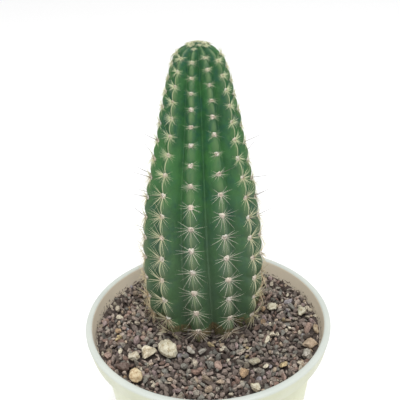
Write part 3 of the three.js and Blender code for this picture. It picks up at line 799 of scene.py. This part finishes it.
def catmull_rom(points, per_span=120):
    points = np.array(points, float)
    last = len(points) - 1
    t = np.linspace(0, 1, per_span, endpoint=False)[:, None]
    line = []
    for i in range(last):
        p1, p2 = points[i], points[i + 1]
        v1 = (p2 - points[max(i - 1, 0)]) / 2
        v2 = (points[min(i + 2, last)] - p1) / 2
        cubic = (2 * p1 - 2 * p2 + v1 + v2) * t ** 3
        line.append(cubic + (-3 * p1 + 3 * p2 - 2 * v1 - v2) * t ** 2 + v1 * t + p1)
    return np.concatenate([*line, points[-1:]])


CREST = catmull_rom(CREST_OUTLINE) + (0, POT_HEIGHT)
CREST_ARC = np.concatenate([[0], np.cumsum(np.hypot(*np.diff(CREST, axis=0).T))])
CREST_SLOPE = np.gradient(CREST, CREST_ARC, axis=0)
CREST_SLOPE /= np.hypot(*CREST_SLOPE.T)[:, None]
CREST_LENGTH = CREST_ARC[-1]
RIM_ARC = np.interp(POT_HEIGHT, CREST[:, 1], CREST_ARC)


def crest_at(arc):
    """At an arc length from the taproot's tip, the crest's radius and height, and its slope out and up."""
    return [np.interp(arc, CREST_ARC, column) for column in (*CREST.T, *CREST_SLOPE.T)]


def areole_spacing(m):
    n = np.minimum(m, STEADY_FROM)
    return AREOLE_SPACING - 2 * AREOLE_CLOSING[0] * n - 3 * AREOLE_CLOSING[1] * n ** 2


def areole_arc(m):
    n = np.minimum(m, STEADY_FROM)
    closing = AREOLE_CLOSING[0] * n ** 2 + AREOLE_CLOSING[1] * n ** 3
    return RIM_ARC + AREOLE_START + AREOLE_SPACING * n - closing + areole_spacing(m) * (m - n)


def phase_of(rib, m):
    fade = smooth(FIRST_ROW, FIRST_AREOLE, m) * (1 - smooth(LAST_ROW - PHASE_FADE, LAST_ROW, m))
    return np.array(RIB_PHASES)[rib % RIB_COUNT] * fade


def rib_angle(rib, height):
    climb = (height - POT_HEIGHT) / CREST_OUTLINE[-1][1]
    return np.radians(FIRST_RIB_DEG + rib * 360 / RIB_COUNT + TWIST_DEG * climb)


def rib_depth(radius, height):
    gone, full = RIBS_FADE_BELOW_RIM
    return RIB_DEPTH * radius * smooth(POT_HEIGHT - gone, POT_HEIGHT - full, height)


def rounded(share, w):
    """Goes from 0 to 1 with the share's size, and has a small round at 0."""
    return (np.hypot(share, w) - w) / (math.hypot(1, w) - w)


def flank_fall(share):
    """How far the surface has fallen from crest (0) to valley (1)."""
    return rounded(share, CREST_ROUNDING)


def wobble(rib, m):
    """Slow swellings of a rib, in millimetres."""
    fade = smooth(-1, 1, m) * (1 - smooth(12, 15, m))
    return fade * (0.22 * np.sin(1.3 * m + 2.1 * rib) + 0.13 * np.sin(2.9 * m + 4.3 * rib))


def axis_x(height):
    """The stem's axis leans and bends a little towards -X and back."""
    return STEM_X + STEM_BEND * np.sin(np.pi * (height - POT_HEIGHT) / BEND_HEIGHT)


def skin_point(arc, rib, share, lift):
    """Points of the skin at a rib's share of half width, moved off the crest's line by the lift."""
    radius, height, slope_out, slope_up = crest_at(arc)
    angle = rib_angle(rib + share / 2, height)
    move = lift - rib_depth(radius, height) * flank_fall(share)
    reach = radius + slope_up * move
    return np.stack([
        axis_x(height) + np.sin(angle) * reach,
        STEM_Y - np.cos(angle) * reach,
        height - slope_out * move,
    ], -1)


def make_stem():
    """The skin: rings from the taproot's tip to the apex, with the values that its look reads."""
    rib = np.repeat(np.arange(RIB_COUNT), COLUMNS_PER_RIB)
    share = np.tile(np.arange(COLUMNS_PER_RIB) * 2 / COLUMNS_PER_RIB - 1, RIB_COUNT)
    beside = rib + np.sign(share).astype(int)
    count = len(rib)

    def plain_rings(arcs):
        return [skin_point(np.full(count, arc), rib, share, 0) for arc in arcs]

    buried = plain_rings(np.arange(*BURIED_ARCS))
    top = plain_rings(np.arange(areole_arc(LAST_ROW), CREST_LENGTH - APEX_ARC_STEP / 2, APEX_ARC_STEP))
    rows = np.arange(FIRST_ROW, LAST_ROW, 1 / ROWS_PER_AREOLE)
    rings = []
    for m in rows:
        # Nothing at an areole, and most half-way to the next
        rise = BULGE * areole_spacing(m) * rounded(np.sin(np.pi * m), NOTCH_ROUNDING)
        rise = rise * (1 - smooth(0, BULGE_REACH, np.abs(share)))
        rise = rise * (1 - smooth(LAST_AREOLE - 1.5, LAST_ROW, m))
        rise = rise + wobble(rib, m) * (1 - smooth(0.3, 1, np.abs(share)))
        phase = lerp(phase_of(rib, m), phase_of(beside, m), np.abs(share) / 2)
        rings.append(skin_point(areole_arc(m + phase), rib, share, rise))
    rings = [*buried, *rings, *top]
    notch = [0.5] * len(buried) + [abs(m - round(m)) for m in rows] + [0] * len(top)
    ends = [[(axis_x(height), STEM_Y, height)] for height in (CREST[0, 1], CREST[-1, 1])]
    points = np.concatenate([ends[0], *rings, ends[1]])
    above = points[:, 2] - LEVEL
    turn = np.pad(np.tile(rib + share / 2, len(rings)), 1)
    # How clearly the pale line of painted highlight shows on each crest
    line = np.array(CREST_LINES)[np.round(turn).astype(int) % RIB_COUNT]
    line = np.where(line < FAINT_LINE, line * (1 - smooth(*FAINT_LINE_HEIGHT, above)), line)
    cork = np.exp(-(((turn - CORK_TURN + 5) % RIB_COUNT - 5) / CORK_WIDTH) ** 2)
    values = {
        "crest": np.pad(np.tile(np.abs(share), len(rings)), 1),
        "notch": np.pad(np.repeat(notch, count), 1),
        "above": above,
        "line": line,
        # Painted light in some valleys, which lifts their shade
        "valley_light": np.array(VALLEY_LINES)[np.floor(turn).astype(int) % RIB_COUNT],
        "cork": lerp(0.72, 1, cork) * (1 - smooth(CORK_HEIGHT / 3, CORK_HEIGHT, above)),
    }
    piece("stem_skin", points, ring_faces(len(rings), count), stem_look(), ["cactus"], values)


# Felt pads and spines


def areole(rib, m, arc):
    """Rib, number, place, and the skin's side, rising and outward directions."""
    _, height, slope_out, slope_up = crest_at(arc)
    angle = rib_angle(rib, height)
    outward = np.array([math.sin(angle), -math.cos(angle), 0])
    up = np.array([0, 0, 1])
    normal = outward * slope_up - up * slope_out
    rising = outward * slope_out + up * slope_up
    return rib, m, skin_point(arc, rib, 0, wobble(rib, m)), np.cross(rising, normal), rising, normal


def areoles():
    """Each areole above the grit, rib by rib, then the small tufts at the growing point."""
    found = []
    for rib in range(RIB_COUNT):
        for m in range(FIRST_AREOLE, LAST_AREOLE + 1):
            shift = LAST_SHIFTS[rib] if m == LAST_AREOLE else FIRST_SHIFT if m == FIRST_AREOLE else 0
            arc = areole_arc(m + phase_of(rib, m) + shift)
            if crest_at(arc)[1] > LEVEL + AREOLE_CLEAR_OF_GRAVEL:
                found.append(areole(rib, m, arc))
    found += [areole(rib, LAST_AREOLE + 1, CREST_LENGTH - TUFT_REACH) for rib in TUFT_RIBS]
    return found


def tapered(bases, middles, tips, radii, sides, rings):
    """Closed thin spines along smooth arcs. Gives points, faces and each point's share of the length."""
    bases, middles, tips = np.array(bases), np.array(middles), np.array(tips)
    radii = np.array(radii)[:, None, None]
    along = unit(tips - bases)
    across = unit(np.cross(along, [0.31, 0.52, 0.79]))
    third = np.cross(along, across)
    around = round_turn(sides)[None, :, None]
    girth = across[:, None] * np.cos(around) + third[:, None] * np.sin(around)
    layers = []
    shares = []
    for t in np.linspace(0, 1, rings + 1)[:-1]:
        centre = bases * (1 - t) ** 2 + middles * 2 * t * (1 - t) + tips * t ** 2
        layers.append(centre[:, None] + girth * radii * (1 - t) ** SPINE_TAPER)
        shares += [t] * sides
    points = np.concatenate([*layers, tips[:, None], bases[:, None]], 1)
    shares += [1, 0]
    tip = rings * sides
    pattern = []
    for i in range(sides):
        j = (i + 1) % sides
        pattern.append((tip + 1, j, i))
        for low in range(0, tip - sides, sides):
            high = low + sides
            pattern += [(low + i, low + j, high + j), (low + i, high + j, high + i)]
        pattern.append((tip - sides + i, tip - sides + j, tip))
    faces = copies(pattern, len(shares), len(bases))
    return points.reshape(-1, 3), faces, np.tile(shares, len(bases))


def directions(place, turn, lift):
    """From an areole, the unit vector along the skin at this turn, and the same lifted off the skin."""
    side, rising, normal = place[3:]
    flat = side * math.cos(turn) + rising * math.sin(turn)
    return flat, flat * math.cos(lift) + normal * math.sin(lift)


def spine_arc(place, turn, lift, length, bow=SPINE_BOW):
    """Base, middle and tip of a spine that leaves an areole and bows a little off its straight line."""
    point, normal = place[2], place[5]
    base = point + normal * PAD_RISE * SPINE_BASE
    tip = point + directions(place, math.radians(turn), math.radians(lift))[1] * length
    tip[2] = np.clip(tip[2], LEVEL + SPINE_CLEAR_OF_GRAVEL, SPINE_TOP)
    return base, (base + tip) / 2 + normal * bow * length, tip


def facing(place):
    """How far round from the front an areole lies, in degrees."""
    rib, _, point = place[:3]
    return abs((math.degrees(rib_angle(rib, point[2])) + 180) % 360 - 180)


def on_left(place):
    return math.sin(rib_angle(place[0], place[2][2])) < 0


def spine_age(place):
    """Spines low on the sides and back of the plant are older and browner."""
    low = 1 - smooth(8, 55, place[2][2] - LEVEL)
    foot = 1 - smooth(3, 14, place[2][2] - LEVEL)
    return float(max(0.1 * low + smooth(56, 82, facing(place)) * (0.12 + 0.8 * low), 0.3 * foot))


def further_spines(place, kind, usual, radius, extra, mirror=False):
    """Arcs and radii of an areole's further spines of one kind, on its other side if mirrored."""
    count, turns, lifts, lengths, bows, radii = kind
    found = []
    for _ in range(count):
        turn = extra.uniform(*turns)
        length = usual * extra.uniform(*lengths)
        turn = 180 - turn if mirror else turn
        arc = spine_arc(place, turn, extra.uniform(*lifts), length, extra.uniform(*bows))
        found.append((*arc, radius * extra.uniform(*radii)))
    return found


def scattered(spine, usual, more_lift, youth, draw, turn_spread=TURN_SPREAD_DEG):
    """Turn, lift and length of one of an areole's set spines, each moved a little at random."""
    turn, lift, share = spine
    turn += turn_spread * (draw() - 0.5)
    lift += more_lift + LIFT_SPREAD_DEG * (draw() - 0.5)
    shortened = 1 - YOUNG_SHORTENING * youth * math.sin(math.radians(turn)) ** 2
    return turn, lift, usual * share * (1 + LENGTH_SPREAD * (draw() - 0.5)) * shortened


def comb_spines(place, full, radius, side, extra):
    """The fine combed spines of a young areole, to its right and to its left."""
    found = []
    for mirror in (False, True):
        gain = 1 + AWAY_GAIN * side * (1 if mirror == on_left(place) else -1)
        reach = full * lerp(FRONT_COMB, gain, side) * (LAST_COMB if place[1] == LAST_AREOLE else 1)
        comb_radius = radius * lerp(1, SIDE_COMB, side) * gain
        found += further_spines(place, YOUNG_EXTRA, reach, comb_radius, extra, mirror)
    return found


def make_spines(places):
    draw = Draws(SOLID_SEED)
    extra = np.random.default_rng(SPINE_SEED)
    radial = []
    traits = []
    central = []
    for place in places:
        rib, m, point = place[:3]
        age = spine_age(place)
        youth = float(smooth(*YOUNG_ROWS, m))
        side = float(smooth(*SIDE_DEG, facing(place)))
        full = SPINE_SHARE * areole_spacing(m) * SPINE_STRETCH * lerp(1, OLD_STRETCH, age)
        usual = full * lerp(np.interp(m, FRONT_ROWS, FRONT_SHARES), 1, SIDE_KEEPS * side)
        tint = float(max(side, TOP_SIDE * smooth(*TOP_ROWS, m)))
        radius = lerp(lerp(SPINE_RADIUS, YOUNG_SPINE_RADIUS, youth), OLD_SPINE_RADIUS, age)
        more_lift = 0
        if m >= LAST_AREOLE:
            usual *= LAST_STRETCH if m == LAST_AREOLE else TUFT_STRETCH
            more_lift = LAST_LIFT_DEG
        has_central = m in CENTRAL_ROWS and (m + rib) % CENTRAL_EVERY == 0
        found = []
        for i, spine in enumerate(SPINES):
            turn, lift, length = scattered(spine, usual, more_lift, youth, draw)
            if has_central and i == CENTRAL_SPINE:
                lift += CENTRAL_LIFT_DEG - spine[1]
                central.append(spine_arc(place, turn, lift, lerp(*CENTRAL_LENGTH, draw())))
            else:
                found.append((*spine_arc(place, turn, lift, length), radius))
        for spine in FINE_SPINES:
            aim = scattered(spine, FINE_SHARE * usual, more_lift, youth, extra.random, FINE_SPREAD_DEG)
            arc = spine_arc(place, *aim, extra.uniform(*FINE_BOWS))
            found.append((*arc, radius * extra.uniform(*FINE_RADII)))
        if youth > COMB_FROM and m <= LAST_AREOLE:
            found += comb_spines(place, full, radius, side, extra)
        if side > 0.5 and m < LAST_AREOLE:
            kind = SIDE_EXTRA if facing(place) < TURNED_AWAY_DEG else ROUND_EXTRA
            reach = usual * lerp(1, YOUNG_SIDE_STRETCH, youth)
            found += further_spines(place, kind, reach, radius, extra, on_left(place))
        if age > OLD_AGE:
            found += further_spines(place, OLD_EXTRA, usual, radius, extra)
        traits += [(age, youth, tint, 0)] * len(found)
        if point[2] < LEVEL + DRIED_HEIGHT:
            dried = further_spines(place, DRIED_EXTRA, usual, radius, extra)
            traits += [(age, youth, tint, extra.uniform(*DRIED_SHARES)) for _ in dried]
            found += dried
        radial += found
        is_due = m in SIDE_CENTRAL_ROWS and (m + rib) % SIDE_CENTRAL_EVERY == 0
        if side == 1 and is_due and not has_central:
            ranges = SIDE_CENTRAL_TURN, SIDE_CENTRAL_LIFT, SIDE_CENTRAL_LENGTH
            central.append(spine_arc(place, *(extra.uniform(*reach) for reach in ranges), SIDE_CENTRAL_BOW))
    points, faces, tip = tapered(*zip(*radial), 4, 4)
    each = len(points) // len(radial)
    names = "age", "young", "side", "dried"
    values = {key: np.repeat(column, each) for key, column in zip(names, zip(*traits))}
    shades = np.random.default_rng(SHADE_SEED).uniform(SPINE_SHADE, 1, len(radial))
    values["shade"] = np.repeat(shades, each)
    piece("spines_radial", points, faces, spine_look(), ["cactus"], {"tip": tip, **values})
    points, faces, tip = tapered(*zip(*central), [CENTRAL_RADIUS] * len(central), 5, 6)
    piece("spines_central", points, faces, central_look(), ["cactus"], {"tip": tip})


def make_felt(places):
    """A felt pad with short hairs at each areole."""
    rng = np.random.default_rng(FELT_SEED)
    corners, triangles = ball(3)
    pads, tones, youths, hairs = [], [], [], []
    for place in places:
        _, m, point, side, rising, normal = place
        size = np.clip(areole_spacing(m) / AREOLE_SPACING, LEAST_PAD, 1) * rng.uniform(*PAD_SIZES)
        size *= LAST_PAD_SHARE ** max(m - LAST_AREOLE + 1, 0)
        waves = np.sin(corners @ rng.normal(0, 4, (3, 3)) + rng.uniform(0, 6, 3))
        spread = corners * (1 + PAD_LUMPS * waves.sum(1))[:, None] * size
        dome = spread[:, :1] * PAD_SIDE * side + spread[:, 1:2] * PAD_SIDE * PAD_TALLER * rising
        pads.append(point + (dome + spread[:, 2:] * PAD_RISE * normal))
        tones.append(rng.random())
        youths.append(float(smooth(*YOUNG_PAD_ROWS, m)))
        for _ in range(PAD_HAIRS):
            turn = rng.uniform(0, 2 * math.pi)
            lift = rng.uniform(*HAIR_LIFTS)
            flat, way = directions(place, turn, lift)
            foot = flat * PAD_SIDE * math.cos(lift) + normal * PAD_RISE * math.sin(lift)
            base = point + size * foot * HAIR_BASE
            tip = base + way * size * rng.uniform(*HAIR_LENGTHS) + rng.normal(0, 0.12, 3)
            hairs.append((base, (base + tip) / 2 + rng.normal(0, 0.06, 3), tip))
    strands, strand_faces, _ = tapered(*zip(*hairs), [HAIR_RADIUS] * len(hairs), 3, 2)
    faces = copies(triangles, len(corners), len(pads))
    faces += (np.array(strand_faces) + len(corners) * len(pads)).tolist()
    counts = len(corners), len(strands) // len(pads)
    values = {
        key: np.concatenate([np.repeat(numbers, count) for count in counts])
        for key, numbers in (("tone", tones), ("young", youths))
    }
    rims = np.tile(np.hypot(corners[:, 0], corners[:, 1]), len(pads))
    values["rim"] = np.concatenate([rims, np.ones(len(strands))])
    points = np.concatenate([*pads, strands])
    piece("areole_felt", points, faces, felt_look(), ["cactus"], values)


# Grit and stones


def skin_radius(angle, height):
    """Radius of the stem's skin about its axis, at an angle from the front and a height."""
    arc = np.interp(height, CREST[:, 1], CREST_ARC)
    radius = crest_at(arc)[0]
    turns = (np.degrees(angle) - np.degrees(rib_angle(0, height))) * RIB_COUNT / 360
    share = 2 * np.abs(turns - np.round(turns))
    return radius - rib_depth(radius, height) * flank_fall(share)


def off_stem(x, y):
    """Distance from the stem's skin at the grit's level."""
    middle = axis_x(LEVEL)
    away = np.hypot(x - middle, y - STEM_Y)
    return away - skin_radius(np.arctan2(x - middle, STEM_Y - y), LEVEL)


def along_ray(angle, radius):
    """Distance from the stem's axis, at an angle from the front, to a circle about the pot's axis."""
    x, y = np.sin(angle), -np.cos(angle)
    stem_x = axis_x(LEVEL)
    middle = stem_x * x + STEM_Y * y
    return -middle + np.sqrt(middle ** 2 + radius ** 2 - stem_x ** 2 - STEM_Y ** 2)


def near_front(x, y, reach, most=1):
    """The most close in front of the stem, and 0 farther off or behind it."""
    return most * smooth(-5, 15, STEM_Y - y) * (1 - smooth(*reach, off_stem(x, y)))


def heap(x, y):
    return near_front(x, y, HEAP_REACH, HEAP_RISE)


def bed_height(x, y):
    """Top of the fine grit between the grains. It climbs a little over the pot's ledge."""
    ripple = 0.35 * np.sin(0.9 * x + 1.3 * np.sin(0.7 * y)) * np.sin(0.8 * y + 0.5)
    over_ledge = smooth(47, 53.5, np.hypot(x, y))
    return LEVEL - BED_BELOW_LEVEL * (1 - 0.9 * over_ledge) + ripple * (1 - over_ledge) + heap(x, y)


def make_bed():
    """Fine grit that fills the pot between the soil and the grains, dark partly as painted shade in the gaps
    between them.
    """
    count = RIB_COUNT * COLUMNS_PER_RIB
    angle = round_turn(count)
    inner = skin_radius(angle, LEVEL) + 0.5
    bottom = POT_HEIGHT - GRAVEL_BOTTOM_BELOW_RIM
    wall = inner_radius(bottom) - 0.5
    edge = LEDGE_OUTER_RADIUS - 0.4
    outline = [
        (inner, bottom),
        (along_ray(angle, wall), bottom),
        (along_ray(angle, wall), LEDGE_HEIGHT + 0.4),
        (along_ray(angle, edge), LEDGE_HEIGHT + LEDGE_RISE + 0.3),
    ]
    outline += [(lerp(inner, along_ray(angle, edge), share), None) for share in np.linspace(1, 0, 40)]
    rings = []
    for reach, height in outline:
        x = axis_x(LEVEL) + np.sin(angle) * reach
        y = STEM_Y - np.cos(angle) * reach
        z = bed_height(x, y) if height is None else np.full(count, height)
        rings.append(np.stack([x, y, z], 1))
    faces = []
    for row in range(len(rings)):
        low = row * count
        high = (row + 1) % len(rings) * count
        for i in range(count):
            j = (i + 1) % count
            faces.append((low + i, low + j, high + j, high + i))
    piece("gravel_bed", np.concatenate(rings), faces, bed_look(), ["gravel"])


def in_pebble(x, y, margin):
    """Which points lie inside a larger stone's outline, with a margin."""
    inside = np.zeros(np.shape(x), bool)
    for _, px, py, length, width, _, turn, *_ in PEBBLES:
        turn = math.radians(turn)
        along = (x - px) * math.cos(turn) + (y - py) * math.sin(turn)
        across = -(x - px) * math.sin(turn) + (y - py) * math.cos(turn)
        inside |= np.hypot(along / (length / 2 + margin), across / (width / 2 + margin)) < 1
    return inside


def settle_grains():
    """Drops grains one by one on the bed and on each other. Of a few tries the lowest place is taken."""
    rng = np.random.default_rng(GRAIN_SEED)
    grains = [(x, y, LEVEL + 0.1 * radius, radius, tone) for x, y, radius, tone in SMALL_STONES]
    misses = 0
    while misses < GRAIN_MISSES:
        radius = rng.triangular(*GRAIN_RADII)
        reach = LEDGE_OUTER_RADIUS - 0.2 - 0.8 * radius
        x, y = rng.uniform(-reach, reach, (2, 3 * GRAIN_CHOICES))
        free = (np.hypot(x, y) < reach) & (off_stem(x, y) > 0.5 * radius) & ~in_pebble(x, y, 0.25 * radius)
        x, y = x[free][:GRAIN_CHOICES], y[free][:GRAIN_CHOICES]
        if len(x) == 0:
            continue
        settled = np.array(grains)
        apart = np.hypot(x[:, None] - settled[:, 0], y[:, None] - settled[:, 1])
        touch = GRAIN_TOUCH * (settled[:, 3] + radius)
        rest = np.where(apart < touch, settled[:, 2] + np.sqrt(np.maximum(touch ** 2 - apart ** 2, 0)), 0)
        z = np.maximum(rest.max(1), bed_height(x, y) + 0.35 * radius)
        brim = LEVEL + 1 + 0.5 * np.sin(0.16 * x + 1) * np.sin(0.13 * y) + heap(x, y)
        brim = brim + WALL_RISE * smooth(48, 53, np.hypot(x, y))
        best = int(np.argmin(z - brim))
        if z[best] + radius > brim[best]:
            misses += 1
            continue
        grains.append((x[best], y[best], z[best], radius, rng.random()))
    return np.array(grains), rng


def rough_balls(middles, radii, rng, corners, triangles):
    """Angular stones: balls stretched, cut by flat planes and turned at random."""
    count = len(middles)
    shapes = np.repeat(corners[None], count, 0)
    normals = unit(rng.normal(size=(count, GRAIN_CUTS, 3)))
    depths = rng.uniform(0.4, 0.85, (count, GRAIN_CUTS))
    for i in range(GRAIN_CUTS):
        over = np.maximum(np.einsum("nvk,nk->nv", shapes, normals[:, i]) - depths[:, i, None], 0)
        shapes = shapes - over[:, :, None] * normals[:, i][:, None]
    shapes = shapes * rng.uniform((1.3, 1, 0.7), (1.75, 1.3, 1), (count, 3))[:, None]
    spin = np.linalg.qr(rng.normal(size=(count, 3, 3)))[0]
    spin[np.linalg.det(spin) < 0, :, 0] *= -1
    shapes = np.einsum("nvk,njk->nvj", shapes, spin) * radii[:, None, None] + middles[:, None]
    return shapes.reshape(-1, 3), copies(triangles, len(corners), count)


def grit_lightness(x, y):
    """How light the grit is, as a share of its own colour: darker close in front of the stem by painted
    shadow, and paler by the wall and on the right.
    """
    lightness = WALL_PALE_GAIN * smooth(*WALL_PALE_REACH, np.hypot(x, y)) + RIGHT_GAIN * smooth(*RIGHT_REACH, x)
    return 1 - FOOT_SHADOW_DEPTH * near_front(x, y, FOOT_SHADOW_REACH) + lightness


def make_grit():
    grains, rng = settle_grains()
    look = grit_look()
    shades = rng.random(len(grains))
    shades[:len(SMALL_STONES)] = 0.5
    small = grains[:, 3] < 1
    for name, chosen, steps in (("gravel_coarse", ~small, 2), ("gravel_fine", small, 1)):
        corners, triangles = ball(steps)
        some = grains[chosen]
        points, faces = rough_balls(some[:, :3], some[:, 3], rng, corners, triangles)
        # How light each grain is by its place, with painted shadow close in front of the stem
        numbers = {"tone": some[:, 4], "shade": shades[chosen], "lightness": grit_lightness(some[:, 0], some[:, 1])}
        values = {key: np.repeat(column, len(corners)) for key, column in numbers.items()}
        piece(name, points, faces, look, ["gravel"], values, is_smooth=False)


def make_stones():
    looks = {kind: stone_look(kind) for kind in STONE_COLOURS}
    corners, triangles = ball(4)
    for i, (kind, x, y, length, width, height, turn, seed, pink, shade) in enumerate(PEBBLES):
        rng = np.random.default_rng(seed)
        shape = corners.copy()
        for _ in range(PEBBLE_CUTS):
            normal = rng.normal(size=3)
            normal /= np.linalg.norm(normal)
            over = np.maximum(shape @ normal - rng.uniform(0.55, 0.88), 0)
            shape = shape - (0.95 * over)[:, None] * normal
        wave = 0.035 * np.sin(corners @ rng.normal(0, 5, (3, 6)) + rng.uniform(0, 6, 6)).sum(1)
        shape = shape * (1 + wave)[:, None]
        shape = shape / np.abs(shape).max(0) * (length / 2, width / 2, height / 2)
        turned_by = np.array(Matrix.Rotation(math.radians(turn), 3, "Z"))
        points = shape @ turned_by.T + (x, y, LEVEL + (0.5 - PEBBLE_SUNK) * height)
        values = {"shade": np.full(len(points), shade), "pink": np.full(len(points), pink)}
        number = f"{i + 1:02d}"
        nodes = [f"pebble_{number}"]
        piece(f"stone_{number}", points, triangles.tolist(), looks[kind], nodes, values)


# Studio


def make_studio():
    edge = circle(FLOOR_RADIUS / MM, 0, FLOOR_STEPS)
    floor = mesh_object("studio_floor", edge, [tuple(range(FLOOR_STEPS))])
    floor.data.materials.append(floor_look())
    world = bpy.data.worlds.new("studio_world")
    world.use_nodes = True
    background = world.node_tree.nodes["Background"]
    background.inputs["Color"].default_value = (1, 1, 1, 1)
    background.inputs["Strength"].default_value = WORLD_STRENGTH
    bpy.context.scene.world = world
    data = bpy.data.lights.new("key_light", "AREA")
    data.shape = "DISK"
    data.size = LIGHT_SIZE
    data.energy = LIGHT_POWER
    light = scene_object("key_light", data)
    light.location = LIGHT_PLACE
    light.rotation_euler = (Vector(LIGHT_AIM) - Vector(LIGHT_PLACE)).to_track_quat("-Z", "Y").to_euler()
    bpy.context.scene.view_settings.view_transform = "Standard"


def make_camera():
    data = bpy.data.cameras.new("photo_camera")
    data.lens = CAMERA_LENS
    data.sensor_width = CAMERA_SENSOR
    data.clip_start = 0.01
    camera = scene_object("photo_camera", data)
    place = Vector(CAMERA_FROM_RIM) * MM + Vector((0, 0, POT_HEIGHT * MM))
    pitch = Matrix.Rotation(math.radians(90 - CAMERA_PITCH_DEG), 4, "X")
    roll = Matrix.Rotation(math.radians(CAMERA_ROLL_DEG), 4, "Z")
    camera.matrix_world = Matrix.Translation(place) @ pitch @ roll
    bpy.context.scene.camera = camera


make_camera()
make_studio()
make_pot()
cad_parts["soil"].material_slots[0].material = soil_look()
make_stem()
places = areoles()
make_felt(places)
make_spines(places)
make_bed()
make_grit()
make_stones()
